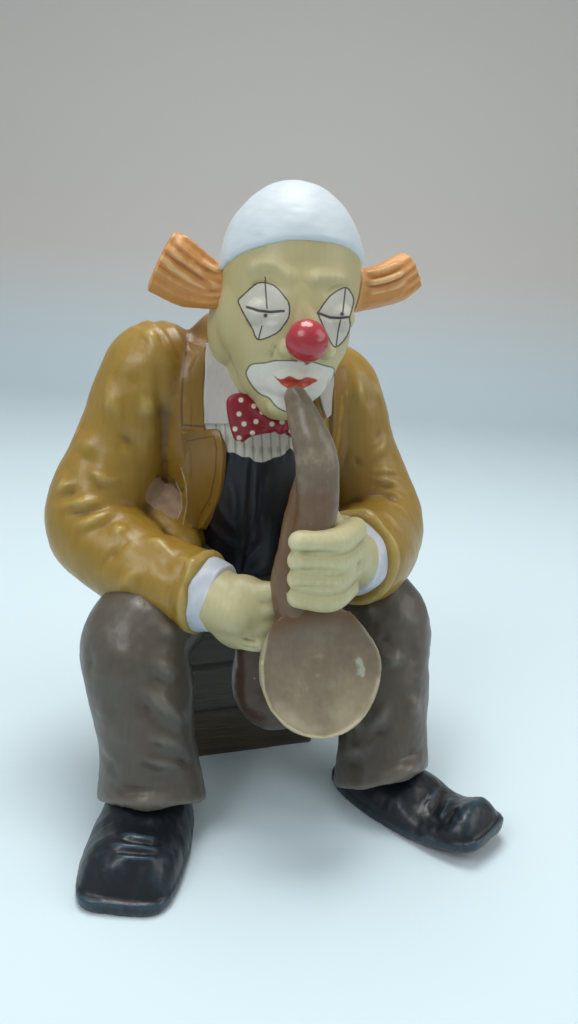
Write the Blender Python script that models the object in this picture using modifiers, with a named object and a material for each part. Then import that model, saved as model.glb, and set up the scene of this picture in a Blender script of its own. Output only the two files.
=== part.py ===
"""Seated clown with a saxophone on a wooden crate, cast in one piece.

The crate has sizes of its own. The clown is modelled in parts, a share of his seated height, in a frame that faces -Y with
+X at his left hand. place() turns parts into metres and keeps him on the crate: the feet stay on the floor, the shins follow the
crate's height, and the knees stay in front of its front face.
"""
import math

import bmesh
import bpy
import numpy as np
from mathutils import Matrix

# Driving sizes, in metres
SEATED_HEIGHT = 0.218
CRATE_WIDTH = 0.080
CRATE_DEPTH = 0.080
CRATE_HEIGHT = 0.082
PLANK_GROOVE = 0.0016
GRAIN_RELIEF = 0.0008
SKIN_GRID = 0.0016
TRIANGLES = 8200

# Shares of the figure, in parts
PARTS_SEATED = 218.0
SEAT_LEVEL = 82.0
ANKLE_LEVEL = 30.0
CRATE_TO_BODY = 36.5
PLANKS = 3

PART = SEATED_HEIGHT / PARTS_SEATED


def place(points):
    """Turn an array of points in parts into metres, on the crate."""
    placed = points * PART
    climb = np.clip((points[:, 2] - ANKLE_LEVEL) / (SEAT_LEVEL - ANKLE_LEVEL), 0.0, 1.0)
    placed[:, 2] += climb * (CRATE_HEIGHT - SEAT_LEVEL * PART)
    placed[:, 1] -= CRATE_DEPTH / 2 - CRATE_TO_BODY * PART
    return placed


def unit(vector):
    vector = np.asarray(vector, float)
    return vector / np.linalg.norm(vector)


def bump(distance):
    """A smooth hump: 1 at no distance, nearly 0 at 2."""
    return np.exp(-np.square(distance))


def curve(values, t):
    """Catmull-Rom curve through the rows of values, for t from 0 to 1."""
    values = np.asarray(values, float)
    padded = np.vstack([2 * values[0] - values[1], values, 2 * values[-1] - values[-2]])
    place_on = np.clip(t, 0, 1) * (len(values) - 1)
    first = np.minimum(place_on.astype(int), len(values) - 2)
    f = (place_on - first)[:, None]
    a, b, c, d = (padded[first + k] for k in range(4))
    return b + 0.5 * f * (c - a + f * (2 * a - 5 * b + 4 * c - d + f * (3 * (b - c) + d - a)))


def rolled(name, rows, columns, surface):
    """Roll a grid into a closed skin: surface(along, around) gives its points, with the first and last rows closed."""
    sheet = bmesh.new()
    bmesh.ops.create_grid(sheet, x_segments=rows, y_segments=columns, size=1.0)
    grid = np.array([v.co for v in sheet.verts])
    points = surface(grid[:, 0] / 2 + 0.5, grid[:, 1] / 2 + 0.5)
    for vert, point in zip(sheet.verts, points):
        vert.co = point
    bmesh.ops.remove_doubles(sheet, verts=sheet.verts, dist=0.02)
    bmesh.ops.dissolve_degenerate(sheet, edges=sheet.edges, dist=0.001)
    bmesh.ops.recalc_face_normals(sheet, faces=sheet.faces)
    mesh = bpy.data.meshes.new(name)
    sheet.to_mesh(mesh)
    sheet.free()
    return mesh


def limb(name, stations, side, round_ends=(1.0, 1.0), folds=(), rows=44, columns=28, swell=None):
    """A tube through stations (x, y, z, half width along side, half depth), with cloth folds across it.

    A fold is (share along, angle in degrees, slant, half reach in degrees, half width as a share, height in parts).
    """
    cap = 0.12

    def surface(along, around):
        t = np.clip((along - cap) / (1 - 2 * cap), 0, 1)
        row = curve(stations, t)
        ahead = curve(stations, np.minimum(t + 0.01, 1))[:, :3]
        behind = curve(stations, np.maximum(t - 0.01, 0))[:, :3]
        tangent = ahead - behind
        tangent /= np.linalg.norm(tangent, axis=1)[:, None]
        across = unit(side) - tangent * (tangent @ unit(side))[:, None]
        across /= np.linalg.norm(across, axis=1)[:, None]
        front = np.cross(tangent, across)
        closing = np.where(along < cap, 1 - along / cap, np.where(along > 1 - cap, (along - 1 + cap) / cap, 0))
        scale = np.cos(closing * math.pi / 2)
        bulge = np.where(along < cap, -round_ends[0], round_ends[1]) * np.sin(closing * math.pi / 2)
        angle = around * 2 * math.pi
        extra = np.zeros(len(t))
        for share, degrees, slant, reach, width, height in folds:
            turn = np.abs((np.degrees(angle) - degrees + 180) % 360 - 180)
            signed = (np.degrees(angle) - degrees + 180) % 360 - 180
            extra += height * bump((t - share - slant * signed / 90) / width) * bump(turn / reach)
        if swell:
            extra += swell(t, angle)
        wide = (row[:, 3] + extra) * scale
        deep = (row[:, 4] + extra) * scale
        radius = (row[:, 3] + row[:, 4]) / 2
        ring = across * (wide * np.cos(angle))[:, None] + front * (deep * np.sin(angle))[:, None]
        return row[:, :3] + tangent * (bulge * radius)[:, None] + ring

    return rolled(name, rows, columns, surface)


def ball(name, centre, radii, turn=(0, 0, 0), shape=None, rows=28, columns=36):
    """An ellipsoid, turned by degrees about X, Y and Z, with an optional shape(unit points) that moves its points."""
    matrix = Matrix.Identity(3)
    for axis, degrees in zip("XYZ", turn):
        matrix = Matrix.Rotation(math.radians(degrees), 3, axis) @ matrix
    spin = np.array(matrix)

    def surface(along, around):
        up = -np.cos(along * math.pi)
        out = np.sin(along * math.pi)
        angle = around * 2 * math.pi
        globe = np.stack([out * np.cos(angle), out * np.sin(angle), up], axis=1)
        points = globe * np.asarray(radii, float)
        if shape:
            points = shape(globe, points)
        return points @ spin.T + np.asarray(centre, float)

    return rolled(name, rows, columns, surface)


# Jacket

RIGHT_ARM = [(-44, 2, 206, 22, 22), (-51, 0, 203, 25, 26), (-66, -2, 166, 24, 25), (-81, -12, 131, 25, 25),
             (-67, -38, 117, 22, 22), (-50, -57, 112, 21, 21), (-36, -71, 111, 19.5, 20)]
LEFT_ARM = [(42, 2, 200, 22, 22), (51, 0, 196, 24, 25), (63, -4, 163, 24, 25), (76, -18, 130, 24, 25),
            (64, -40, 122, 24, 24), (49, -60, 123, 24, 24), (36, -72, 126, 22, 23)]
TORSO = [(0, 2, 84, 42, 34), (0, 0, 104, 42, 34), (0, -4, 130, 41, 34), (0, -8, 160, 49, 35), (0, -9, 186, 53, 34),
         (1, -7, 206, 52, 29), (2, -8, 222, 38, 24), (3, -14, 233, 24, 19)]
OPENING_DEPTH = 5.0


def jacket_front(t, angle):
    """Let the jacket's front edges stand out from the vest, with the lapels rolled back along them."""
    height = 84 + 149 * t
    turn = np.degrees(angle) + 90 + 8
    off_centre = np.abs((turn + 180) % 360 - 180)
    gap = np.interp(height, [84, 118, 135, 160, 185, 215, 233], [22, 34, 46, 38, 40, 52, 60])
    inside = 1 / (1 + np.exp((off_centre - gap) / 1.6))
    rolled_back = bump((off_centre - gap - 10) / 9) * np.clip((height - 130) / 25, 0, 1)
    return 1.8 * rolled_back - OPENING_DEPTH * inside


def jacket():
    elbow = [(0.46, 215, 0.05, 60, 0.016, 1.6), (0.52, 225, -0.02, 65, 0.016, 1.8), (0.58, 215, -0.06, 60, 0.016, 1.6),
             (0.66, 200, 0.05, 70, 0.018, 1.6), (0.76, 150, 0.06, 70, 0.018, 1.4), (0.86, 200, 0.04, 60, 0.016, 1.2)]
    other = [(0.36, 300, 0.03, 60, 0.015, 1.4), (0.43, 300, 0.03, 70, 0.015, 1.6), (0.50, 300, 0.02, 70, 0.015, 1.6),
             (0.57, 300, 0.02, 70, 0.015, 1.6), (0.66, 320, 0.04, 60, 0.016, 1.4), (0.80, 20, 0.05, 60, 0.018, 1.2)]
    yield limb("torso", TORSO, (1, 0, 0), (0.1, 0.3), swell=jacket_front, rows=60, columns=72)
    yield limb("right sleeve", RIGHT_ARM, (0.79, 0.6, 0.1), (0.6, 0.02), elbow, rows=72, columns=40)
    yield limb("left sleeve", LEFT_ARM, (0.79, -0.6, 0.1), (0.6, 0.02), other, rows=72, columns=40)
    yield ball("web of casting behind the right arm", (-50, -12, 142), (11, 14, 17))
    yield ball("shoulder yoke", (0, 4, 200), (62, 19, 22))


# Shirt, cuffs, vest and bow tie

def shirt():
    neck = [(2, -14, 196, 26, 24), (2, -20, 214, 25, 23), (3, -24, 232, 21, 20), (4, -28, 246, 20, 20)]
    yield limb("neck", neck, (1, 0, 0))
    vest = [(-2, -14, 112, 24, 28), (-2, -15, 140, 31, 29), (-1, -17, 168, 34, 28), (0, -17, 196, 32, 27)]
    yield limb("vest", vest, (1, 0, 0), (0.5, 0.2))
    for name, arm, radius in (("right cuff", RIGHT_ARM, 18), ("left cuff", LEFT_ARM, 20)):
        wrist = np.array(arm[-1][:3])
        outward = unit(wrist - np.array(arm[-2][:3]))
        start = tuple(wrist - 6 * outward) + (radius, radius)
        end = tuple(wrist + 6 * outward) + (radius, radius)
        yield limb(name, [start, end], (0, 0, 1), (0, 0), rows=12)
    for sign in (-1, 1):
        wing = [(sign * 6 + 1, -44, 206, 10, 3), (sign * 16 + 1, -44, 198, 12, 3), (sign * 27 + 1, -43, 190, 8, 3)]
        yield limb("collar wing", wing, (0, 0.2, 1), (0.3, 0.3), rows=20)
        tie = [(sign * 1 - 4, -57, 190, 4, 3), (sign * 8 - 4, -56, 190.5, 7, 4), (sign * 19 - 4, -52, 191, 12, 3.5)]
        yield limb("bow tie wing", tie, (0, 0, 1), (0.3, 0.1), rows=20)
    yield ball("bow tie knot", (-4, -57, 190), (4.5, 4.5, 5.5))


# Trousers and shoes

RIGHT_LEG = [(-16, 4, 100, 24, 23), (-26, -14, 98, 25, 23), (-48, -44, 97, 25, 22), (-67, -64, 86, 26, 25),
             (-66, -75, 64, 24.5, 23), (-63, -79, 38, 23, 22), (-61, -82, 12, 27, 24)]
LEFT_LEG = [(16, 4, 100, 24, 23), (26, -14, 98, 25, 23), (46, -38, 97, 25, 22), (62, -58, 86, 26, 25),
            (61, -72, 64, 24.5, 23), (57, -85, 38, 25, 22), (55, -93, 12, 27, 23)]


def trousers():
    knee = [(0.42, 100, 0.04, 50, 0.018, 1.4), (0.52, 250, 0.05, 70, 0.018, 1.6), (0.60, 60, 0.06, 60, 0.02, 1.4),
            (0.68, 120, -0.05, 60, 0.02, 1.4), (0.80, 60, 0.05, 80, 0.02, 1.4), (0.88, 130, -0.03, 90, 0.02, 1.8),
            (0.95, 60, 0.03, 90, 0.02, 1.6)]
    yield limb("right trouser leg", RIGHT_LEG, (0.75, -0.66, 0), (0.5, 0.02), knee, rows=72, columns=44)
    yield limb("left trouser leg", LEFT_LEG, (0.75, 0.66, 0), (0.5, 0.02), knee, rows=72, columns=44)
    yield ball("lap", (0, -6, 96), (42, 32, 20))


def shoe(name, heel, toe, toe_lift):
    """One shoe from heel to toe, with a welt round the sole and a bulbous toe cap."""
    run = unit(np.array(toe) - np.array(heel))
    across = np.array([-run[1], run[0], 0])
    length = np.linalg.norm(np.array(toe) - np.array(heel))

    def surface(along, around):
        x = along * length
        angle = around * 2 * math.pi
        share = np.sqrt(np.clip(1 - np.square(2 * along - 1) ** 3, 0, 1))
        width = share * np.interp(along, [0, 0.3, 0.5, 0.8, 1], [17, 18, 19, 21.5, 20])
        top = share * np.interp(along, [0, 0.15, 0.35, 0.55, 0.7, 0.85, 1], [26, 34, 36, 25, 22, 24, 16])
        rise = toe_lift * np.clip((along - 0.6) / 0.4, 0, 1) ** 2
        up = np.sin(angle)
        flat = np.where(up < 0, -2.5, up * top)
        welt = 1 + 0.10 * bump((np.clip(up, 0, 1) * top - 2) / 3)
        out = np.cos(angle) * width * np.where(up > 0, welt, 1.05)
        return np.array(heel) + x[:, None] * run + out[:, None] * across + (flat + rise)[:, None] * np.array([0, 0, 1])

    return rolled(name, 44, 40, surface)


def shoes():
    yield shoe("right shoe", (-49, -60, 0), (-84, -138, 0), 0)
    yield shoe("left shoe", (34, -82, 0), (92, -148, 0), 9)


# Head, cap and hair

HEAD_TURN = -10.0
HEAD_NOD = 10.0


def head():
    def face(globe, points):
        front = np.clip(-globe[:, 1], 0, 1)
        jaw = np.clip(-globe[:, 2], 0, 1)
        shaped = points.copy()
        shaped[:, 0] *= 1 - 0.22 * jaw ** 2
        shaped[:, 1] -= 3.0 * front * bump((globe[:, 2] + 0.75) / 0.25)
        shaped[:, 1] += 2.5 * front * bump((globe[:, 2] - 0.22) / 0.16) * bump((np.abs(globe[:, 0]) - 0.42) / 0.25)
        return shaped

    yield ball("skull", (5, -40, 256), (34.5, 38, 42), (HEAD_NOD, 0, HEAD_TURN))
    yield ball("face", (1, -50, 233), (30, 32, 37), (HEAD_NOD, 0, HEAD_TURN), face)
    yield ball("brow", (-1, -70, 259), (19, 9, 7), (0, 0, HEAD_TURN))
    yield ball("nose", (-3.4, -90, 230.7), (9.7, 9.7, 9.7))
    yield ball("lips", (-4, -80, 212), (11, 6, 4), (0, 0, HEAD_TURN))
    brim = [(-32, -28, 259, 4, 4), (-24, -60, 263, 4, 4), (-2, -78, 268, 4, 4), (24, -64, 267, 4, 4), (38, -36, 264, 4, 4)]
    yield limb("cap edge", brim, (0, 0, 1), rows=40, columns=12)


def tuft(name, root, end, root_height, end_height, thickness, tip):
    """A fan of stiff hair that widens from its root to a flat cut end, with ridges along it."""
    stations = []
    for share in (0.0, 0.35, 0.7, 1.0):
        centre = np.array(root) + share * (np.array(end) - np.array(root))
        stations.append(tuple(centre) + (root_height + share * (end_height - root_height), thickness * (1 + 0.2 * share)))

    def strands(t, angle):
        return 1.3 * np.cos(9 * angle) * np.clip(t * 2, 0.2, 1)

    return limb(name, stations, tip, (0.2, 0.05), swell=strands, rows=24, columns=72)


def hair():
    yield tuft("right tuft", (-20, -32, 251), (-55, -22, 259), 9, 14.5, 7, (0.42, 0, 0.9))
    yield tuft("left tuft", (34, -34, 252), (76, -22, 263), 9, 11, 7, (-0.3, 0, 0.95))


# Saxophone

BELL_CENTRE = np.array([4.0, -119.0, 91.0])
BELL_RADIUS = 30.0
BELL_TILT = 29.0
BELL_TURN = 5.0


def bell():
    """The bell's dish, a turned profile from its rim in to its throat, facing forward and up."""
    profile = np.array([(0, -4), (0.5, -4.2), (0.8, -3), (0.93, -0.6), (0.985, 0.6), (1.0, -0.6), (0.97, -3), (0.84, -8),
                        (0.62, -14), (0.42, -22), (0.3, -28), (0, -28)])
    tilt = Matrix.Rotation(math.radians(BELL_TURN), 3, "Z") @ Matrix.Rotation(math.radians(90 - BELL_TILT), 3, "X")
    spin = np.array(tilt)

    def surface(along, around):
        row = curve(profile, along)
        angle = around * 2 * math.pi
        radius = np.abs(row[:, 0]) * BELL_RADIUS
        radius[(along <= 0) | (along >= 1)] = 0
        points = np.stack([radius * np.cos(angle), radius * np.sin(angle), row[:, 1]], axis=1)
        return points @ spin.T + BELL_CENTRE

    return rolled("bell", 56, 48, surface)


def saxophone():
    neck = [(-5, -84, 210, 5, 5), (-3.5, -94, 200, 7, 7), (0, -102, 184, 9, 9), (1.5, -105, 166, 9, 9), (0, -106, 148, 8.5, 9),
            (0, -106, 128, 7, 7), (3, -106, 112, 9, 9)]
    body = [(0, -99, 178, 7, 7), (-2, -95, 164, 8, 8), (-6, -91, 145, 8, 8), (-10, -89, 118, 9, 9), (-12, -87, 90, 13, 13), (-11, -89, 70, 15, 16),
            (-6, -95, 67, 15, 15), (1, -101, 76, 12, 12)]
    yield limb("neck tube", neck, (1, 0, 0))
    yield limb("body tube", body, (1, 0, 0), rows=56)
    yield bell()


# Hands

def fist(name, palm, palm_radii, turn, knuckles, tips, bulge, radius):
    """A palm with four fingers bent across the tube, one below the other."""
    yield ball(name + " palm", palm, palm_radii, turn)
    for k in range(4):
        share = k / 3
        start = np.array(knuckles[0]) * (1 - share) + np.array(knuckles[1]) * share
        end = np.array(tips[0]) * (1 - share) + np.array(tips[1]) * share
        middle = (start + end) / 2 + np.array(bulge)
        thick = radius * (1 - 0.12 * abs(share - 0.4))
        stations = [tuple(start) + (thick, thick), tuple(middle) + (thick, thick), tuple(end) + (thick * 0.85, thick * 0.85)]
        yield limb(f"{name} finger {k + 1}", stations, (0, 0, 1), rows=18, columns=14)


def hands():
    yield from fist("left", (16, -92, 135), (19, 13, 18), (0, 0, 10), [(26, -98, 150), (26, -96, 122)],
                    [(-9, -112, 150), (-7, -110, 124)], (0, -8, 0), 5.2)
    yield from fist("right", (-24, -85, 108), (17, 13, 18), (0, 0, -30), [(-22, -94, 120), (-26, -95, 96)],
                    [(-6, -100, 122), (-10, -102, 97)], (0, -4, 0), 5.0)


# Crate

def crate():
    """A plain plank crate: a box with sawn grooves between its planks and low wavy grain."""
    box = bmesh.new()
    bmesh.ops.create_cube(box, size=1.0, matrix=Matrix.Diagonal((CRATE_WIDTH, CRATE_DEPTH, CRATE_HEIGHT + 0.002, 1)))
    bmesh.ops.translate(box, verts=box.verts, vec=(0, 0, CRATE_HEIGHT / 2 + 0.001))
    for k in range(1, PLANKS):
        level = CRATE_HEIGHT * k / PLANKS
        for offset in (-PLANK_GROOVE, 0, PLANK_GROOVE):
            geometry = box.verts[:] + box.edges[:] + box.faces[:]
            bmesh.ops.bisect_plane(box, geom=geometry, plane_co=(0, 0, level + offset), plane_no=(0, 0, 1))
        for vert in box.verts:
            if abs(vert.co.z - level) < PLANK_GROOVE / 4:
                vert.co.x -= math.copysign(PLANK_GROOVE, vert.co.x)
                vert.co.y -= math.copysign(PLANK_GROOVE, vert.co.y)
    corners = [e for e in box.edges if abs(e.verts[0].co.z - e.verts[1].co.z) > PLANK_GROOVE * 2]
    bmesh.ops.bevel(box, geom=corners, offset=GRAIN_RELIEF, segments=2, affect="EDGES", profile=0.5, material=-1)
    mesh = bpy.data.meshes.new("crate")
    box.to_mesh(mesh)
    box.free()
    return mesh


# Casting

def joined(name, meshes):
    """One mesh of all the shapes, placed in metres."""
    shapes = bmesh.new()
    for mesh in meshes:
        shapes.from_mesh(mesh)
        bpy.data.meshes.remove(mesh)
    points = place(np.array([v.co for v in shapes.verts]))
    for vert, point in zip(shapes.verts, points):
        vert.co = point
    mesh = bpy.data.meshes.new(name)
    shapes.to_mesh(mesh)
    shapes.free()
    return mesh


def skinned(mesh):
    """Melt overlapping shapes into one skin and thin it to the casting's triangle budget."""
    shell = bpy.data.objects.new("shell", mesh)
    bpy.context.scene.collection.objects.link(shell)
    remesh = shell.modifiers.new("skin", "REMESH")
    remesh.mode = "VOXEL"
    remesh.voxel_size = SKIN_GRID
    soften = shell.modifiers.new("soften", "SMOOTH")
    soften.factor = 0.5
    soften.iterations = 2
    thin = shell.modifiers.new("thin", "DECIMATE")
    bpy.context.view_layer.update()
    graph = bpy.context.evaluated_depsgraph_get()
    thin.show_viewport = False
    thin.show_render = False
    graph.update()
    faces = len(shell.evaluated_get(graph).data.polygons)
    thin.show_viewport = True
    thin.show_render = True
    thin.ratio = TRIANGLES / (2 * faces)
    thin.use_collapse_triangulate = True
    graph.update()
    skin = bpy.data.meshes.new_from_object(shell.evaluated_get(graph))
    bpy.data.objects.remove(shell)
    return skin


def levelled(mesh):
    """Cut the skin flat at the floor, so that both soles stand on it."""
    skin = bmesh.new()
    skin.from_mesh(mesh)
    geometry = skin.verts[:] + skin.edges[:] + skin.faces[:]
    cut = bmesh.ops.bisect_plane(skin, geom=geometry, plane_co=(0, 0, 0), plane_no=(0, 0, -1), clear_outer=True, dist=0.0001)
    rim = [e for e in cut["geom_cut"] if isinstance(e, bmesh.types.BMEdge)]
    bmesh.ops.holes_fill(skin, edges=rim, sides=0)
    bmesh.ops.triangulate(skin, faces=skin.faces)
    bmesh.ops.dissolve_degenerate(skin, edges=skin.edges, dist=0.00005)
    bmesh.ops.recalc_face_normals(skin, faces=skin.faces)
    skin.to_mesh(mesh)
    skin.free()


def paint():
    material = bpy.data.materials.new("painted casting")
    material.use_nodes = True
    shader = material.node_tree.nodes["Principled BSDF"]
    shader.inputs["Base Color"].default_value = (0.42, 0.25, 0.06, 1)
    shader.inputs["Roughness"].default_value = 0.45
    shader.inputs["Metallic"].default_value = 0.0
    material.diffuse_color = (0.42, 0.25, 0.06, 1)
    return material


def build():
    for old in list(bpy.data.objects):
        bpy.data.objects.remove(old)
    parts = bpy.data.collections.new("clown figurine")
    cutters = bpy.data.collections.new("casting helpers")
    bpy.context.scene.collection.children.link(parts)
    bpy.context.scene.collection.children.link(cutters)
    shapes = []
    for group in (jacket, shirt, trousers, shoes, head, hair, saxophone, hands):
        shapes.extend(group())
    skin = skinned(joined("figurine", shapes))
    levelled(skin)
    figurine = bpy.data.objects.new("figurine", skin)
    figurine.data.materials.append(paint())
    parts.objects.link(figurine)
    box = bpy.data.objects.new("crate box", crate())
    box.hide_render = True
    box.display_type = "WIRE"
    cutters.objects.link(box)
    union = figurine.modifiers.new("cast together", "BOOLEAN")
    union.operation = "UNION"
    union.solver = "EXACT"
    union.object = box


build()
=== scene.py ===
"""Looks of a hand-painted casting: a seated clown with a saxophone on a plank crate.

Shapes are modelled in parts, 1 mm each at the casting's own size, in a frame that faces -Y, and then placed
in metres. Marks that are read off the photograph are picture points (across, down), thrown back onto the skin
that carries them.
"""

import math

import bmesh
import bpy
import numpy as np
from mathutils import Matrix, Vector
from mathutils.bvhtree import BVHTree


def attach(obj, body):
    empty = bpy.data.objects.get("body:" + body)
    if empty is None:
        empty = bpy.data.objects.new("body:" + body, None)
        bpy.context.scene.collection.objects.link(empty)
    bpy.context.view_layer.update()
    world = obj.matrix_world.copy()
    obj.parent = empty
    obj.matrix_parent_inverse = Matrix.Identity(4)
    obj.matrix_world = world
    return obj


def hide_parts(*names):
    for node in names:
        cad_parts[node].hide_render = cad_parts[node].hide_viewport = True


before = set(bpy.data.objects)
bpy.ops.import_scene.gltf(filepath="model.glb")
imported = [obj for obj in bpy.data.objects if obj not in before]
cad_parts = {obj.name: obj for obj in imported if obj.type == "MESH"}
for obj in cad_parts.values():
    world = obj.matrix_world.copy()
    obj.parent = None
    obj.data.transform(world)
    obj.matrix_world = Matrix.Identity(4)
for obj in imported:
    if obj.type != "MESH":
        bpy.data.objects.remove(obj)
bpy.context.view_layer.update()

# Camera: where the picture was taken from, in parts

PART = 0.001
CRATE_BACK = 3.5
EYE = np.array([-124.86, -409.29, 255.0])
AHEAD = np.array([0.3502, 0.9367, 0.0])
RIGHTWARD = np.array([0.9367, -0.3502, 0.0])
PITCH = math.radians(16.2)
ROLL = math.radians(4.4)
FOCAL_PIXELS = 800.0
PICTURE = (578, 1024)
SENSOR = 36.0

FORWARD = AHEAD * math.cos(PITCH) - np.array([0, 0, math.sin(PITCH)])
UPRIGHT = np.cross(RIGHTWARD, FORWARD)
LENS_RIGHT = RIGHTWARD * math.cos(ROLL) + UPRIGHT * math.sin(ROLL)
LENS_UP = UPRIGHT * math.cos(ROLL) - RIGHTWARD * math.sin(ROLL)


def metres(points):
    return (np.asarray(points, float) - (0, CRATE_BACK, 0)) * PART


def sight(across, down):
    """Unit direction from the lens through a picture point."""
    x = (np.asarray(across, float) - PICTURE[0] / 2) / FOCAL_PIXELS
    y = (PICTURE[1] / 2 - np.asarray(down, float)) / FOCAL_PIXELS
    way = FORWARD + np.multiply.outer(x, LENS_RIGHT) + np.multiply.outer(y, LENS_UP)
    return way / np.linalg.norm(way, axis=-1, keepdims=True)


def pictured(points):
    """Picture points (across, down) of points in parts."""
    seen = points - EYE
    depth = seen @ FORWARD
    across = PICTURE[0] / 2 + FOCAL_PIXELS * (seen @ LENS_RIGHT) / depth
    down = PICTURE[1] / 2 - FOCAL_PIXELS * (seen @ LENS_UP) / depth
    return np.stack([across, down], axis=-1)


def at_depth(across, down, y):
    """The point in parts behind a picture point, at a given y."""
    way = sight(across, down)
    return EYE + way * ((y - EYE[1]) / way[..., 1])[..., None]


def set_camera():
    data = bpy.data.cameras.new("camera")
    data.sensor_width = SENSOR
    data.lens = SENSOR * FOCAL_PIXELS / PICTURE[1]
    data.clip_start = 0.01
    camera = bpy.data.objects.new("camera", data)
    turn = Matrix([LENS_RIGHT, LENS_UP, -FORWARD]).transposed().to_4x4()
    turn.translation = Vector(metres(EYE))
    camera.matrix_world = turn
    bpy.context.scene.collection.objects.link(camera)
    bpy.context.scene.camera = camera


# Paint kit

# PLANE_UNIT is in picture pixels, BEHIND is the plane mark of what faces away, BRUSH_DEPTH is in metres
NOISE_SPREAD = 2.6
PLANE_UNIT = 100
BEHIND = -50.0
BRUSH_DEPTH = 0.00014


def paint_colour(code):
    """Scene-linear colour of a paint chip given as rrggbb."""
    shades = [int(code[k:k + 2], 16) / 255 for k in (0, 2, 4)]
    return tuple(s / 12.92 if s <= 0.04045 else ((s + 0.055) / 1.055) ** 2.4 for s in shades) + (1.0,)


class Tint:
    """One value in a paint's nodes. Arithmetic on it adds Math nodes."""

    def __init__(self, paint, socket):
        self.paint = paint
        self.socket = socket

    def math(self, operation, other=0.0, clamp=False):
        settings = {"operation": operation, "use_clamp": clamp}
        return self.paint.node("ShaderNodeMath", settings, {0: self, 1: other})

    def __add__(self, other):
        return self.math("ADD", other)

    def __sub__(self, other):
        return self.math("SUBTRACT", other)

    def __mul__(self, other):
        return self.math("MULTIPLY", other)

    __radd__ = __add__

    def __neg__(self):
        return self * -1.0

    def most(self, other):
        return self.math("MAXIMUM", other)

    def least(self, other):
        return self.math("MINIMUM", other)

    def step(self, low, high):
        """0 below low, 1 above high, smooth between; low may be the larger."""
        settings = {"interpolation_type": "SMOOTHSTEP", "clamp": True}
        return self.paint.node("ShaderNodeMapRange", settings, {0: self, 1: low, 2: high, 3: 0.0, 4: 1.0})


class Paint:
    """A hand-painted finish: one Principled shader and the nodes that feed it."""

    def __init__(self, name, specular=0.5, coat_roughness=0.25):
        self.material = bpy.data.materials.new(name)
        self.material.use_nodes = True
        self.nodes = self.material.node_tree.nodes
        self.links = self.material.node_tree.links
        self.shader = self.nodes["Principled BSDF"]
        self.shader.inputs["Specular IOR Level"].default_value = specular
        self.shader.inputs["Coat Roughness"].default_value = coat_roughness
        self.place = self.node("ShaderNodeTexCoord", output="Object")

    def node(self, kind, settings=None, inputs=None, output=0):
        made = self.nodes.new(kind)
        for name, value in (settings or {}).items():
            setattr(made, name, value)
        for key, value in (inputs or {}).items():
            self.feed(made.inputs[key], value)
        return Tint(self, made.outputs[output])

    def feed(self, socket, value):
        if isinstance(value, Tint):
            self.links.new(value.socket, socket)
        elif socket.type == "VECTOR" and len(value) == 4:
            socket.default_value = value[:3]
        else:
            socket.default_value = value

    def mark(self, name):
        return self.node("ShaderNodeAttribute", {"attribute_name": name}, output="Fac")

    def plane(self):
        return self.node("ShaderNodeAttribute", {"attribute_name": "plane"}, output="Vector")

    def noise(self, scale, detail=2.0, stretch=(1, 1, 1), rough=0.5, distort=0.0):
        """Even noise about 0, from roughly -1 to 1; stretch below 1 draws it out along that axis."""
        laid = self.node("ShaderNodeMapping", inputs={"Vector": self.place, "Scale": stretch})
        values = {"Vector": laid, "Scale": scale, "Detail": detail, "Roughness": rough, "Distortion": distort}
        return (self.node("ShaderNodeTexNoise", inputs=values) - 0.5) * NOISE_SPREAD

    def mix(self, share, first, second):
        """Blend of two colours by the share of the second."""
        settings = {"data_type": "RGBA", "clamp_factor": True}
        return self.node("ShaderNodeMix", settings, {0: share, 6: first, 7: second}, output=2)

    def shade(self, share, colour, strength):
        """Brighten or darken a colour by a value about 0."""
        lit = (share * strength + 1.0).most(0.0)
        as_colour = self.node("ShaderNodeCombineColor", inputs={0: lit, 1: lit, 2: lit})
        return self.vector("MULTIPLY", colour, as_colour)

    def vector(self, operation, first, second, output=0):
        return self.node("ShaderNodeVectorMath", {"operation": operation}, {0: first, 1: second}, output)

    def stroke(self, plane, points, width, soft=0.6):
        """Mask of a brush line through picture points, width in picture pixels."""
        nearest = None
        for a, b in zip(points, points[1:]):
            start = (a[0] / PLANE_UNIT, a[1] / PLANE_UNIT, 0.0)
            run = (b[0] / PLANE_UNIT - start[0], b[1] / PLANE_UNIT - start[1], 0.0)
            away = self.vector("SUBTRACT", plane, start)
            long = run[0] ** 2 + run[1] ** 2
            share = self.vector("DOT_PRODUCT", away, run, "Value").math("MULTIPLY", 1 / long, clamp=True)
            foot = self.node("ShaderNodeVectorMath", {"operation": "SCALE"}, {0: run, "Scale": share})
            gap = self.vector("DISTANCE", away, foot, "Value")
            nearest = gap if nearest is None else nearest.least(gap)
        return nearest.step((width / 2 + soft) / PLANE_UNIT, (width / 2 - soft / 2) / PLANE_UNIT)

    def dots(self, plane, points, radius, soft=0.7):
        """Mask of round dots at picture points, radius in picture pixels."""
        nearest = None
        for across, down in points:
            spot = (across / PLANE_UNIT, down / PLANE_UNIT, 0.0)
            gap = self.vector("DISTANCE", plane, spot, "Value")
            nearest = gap if nearest is None else nearest.least(gap)
        return nearest.step((radius + soft) / PLANE_UNIT, (radius - soft) / PLANE_UNIT)

    def finish(self, colour, roughness, height=None, depth=BRUSH_DEPTH, coat=0.0):
        """Connect the finish. The brush marks' height is a share of depth, in metres."""
        self.feed(self.shader.inputs["Base Color"], colour)
        self.feed(self.shader.inputs["Roughness"], roughness)
        self.feed(self.shader.inputs["Coat Weight"], coat)
        if height is not None:
            relief = self.node("ShaderNodeBump",
                               inputs={"Strength": 1.0, "Distance": depth, "Height": height})
            self.feed(self.shader.inputs["Normal"], relief)
        return self.material


# Modelling kit

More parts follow.
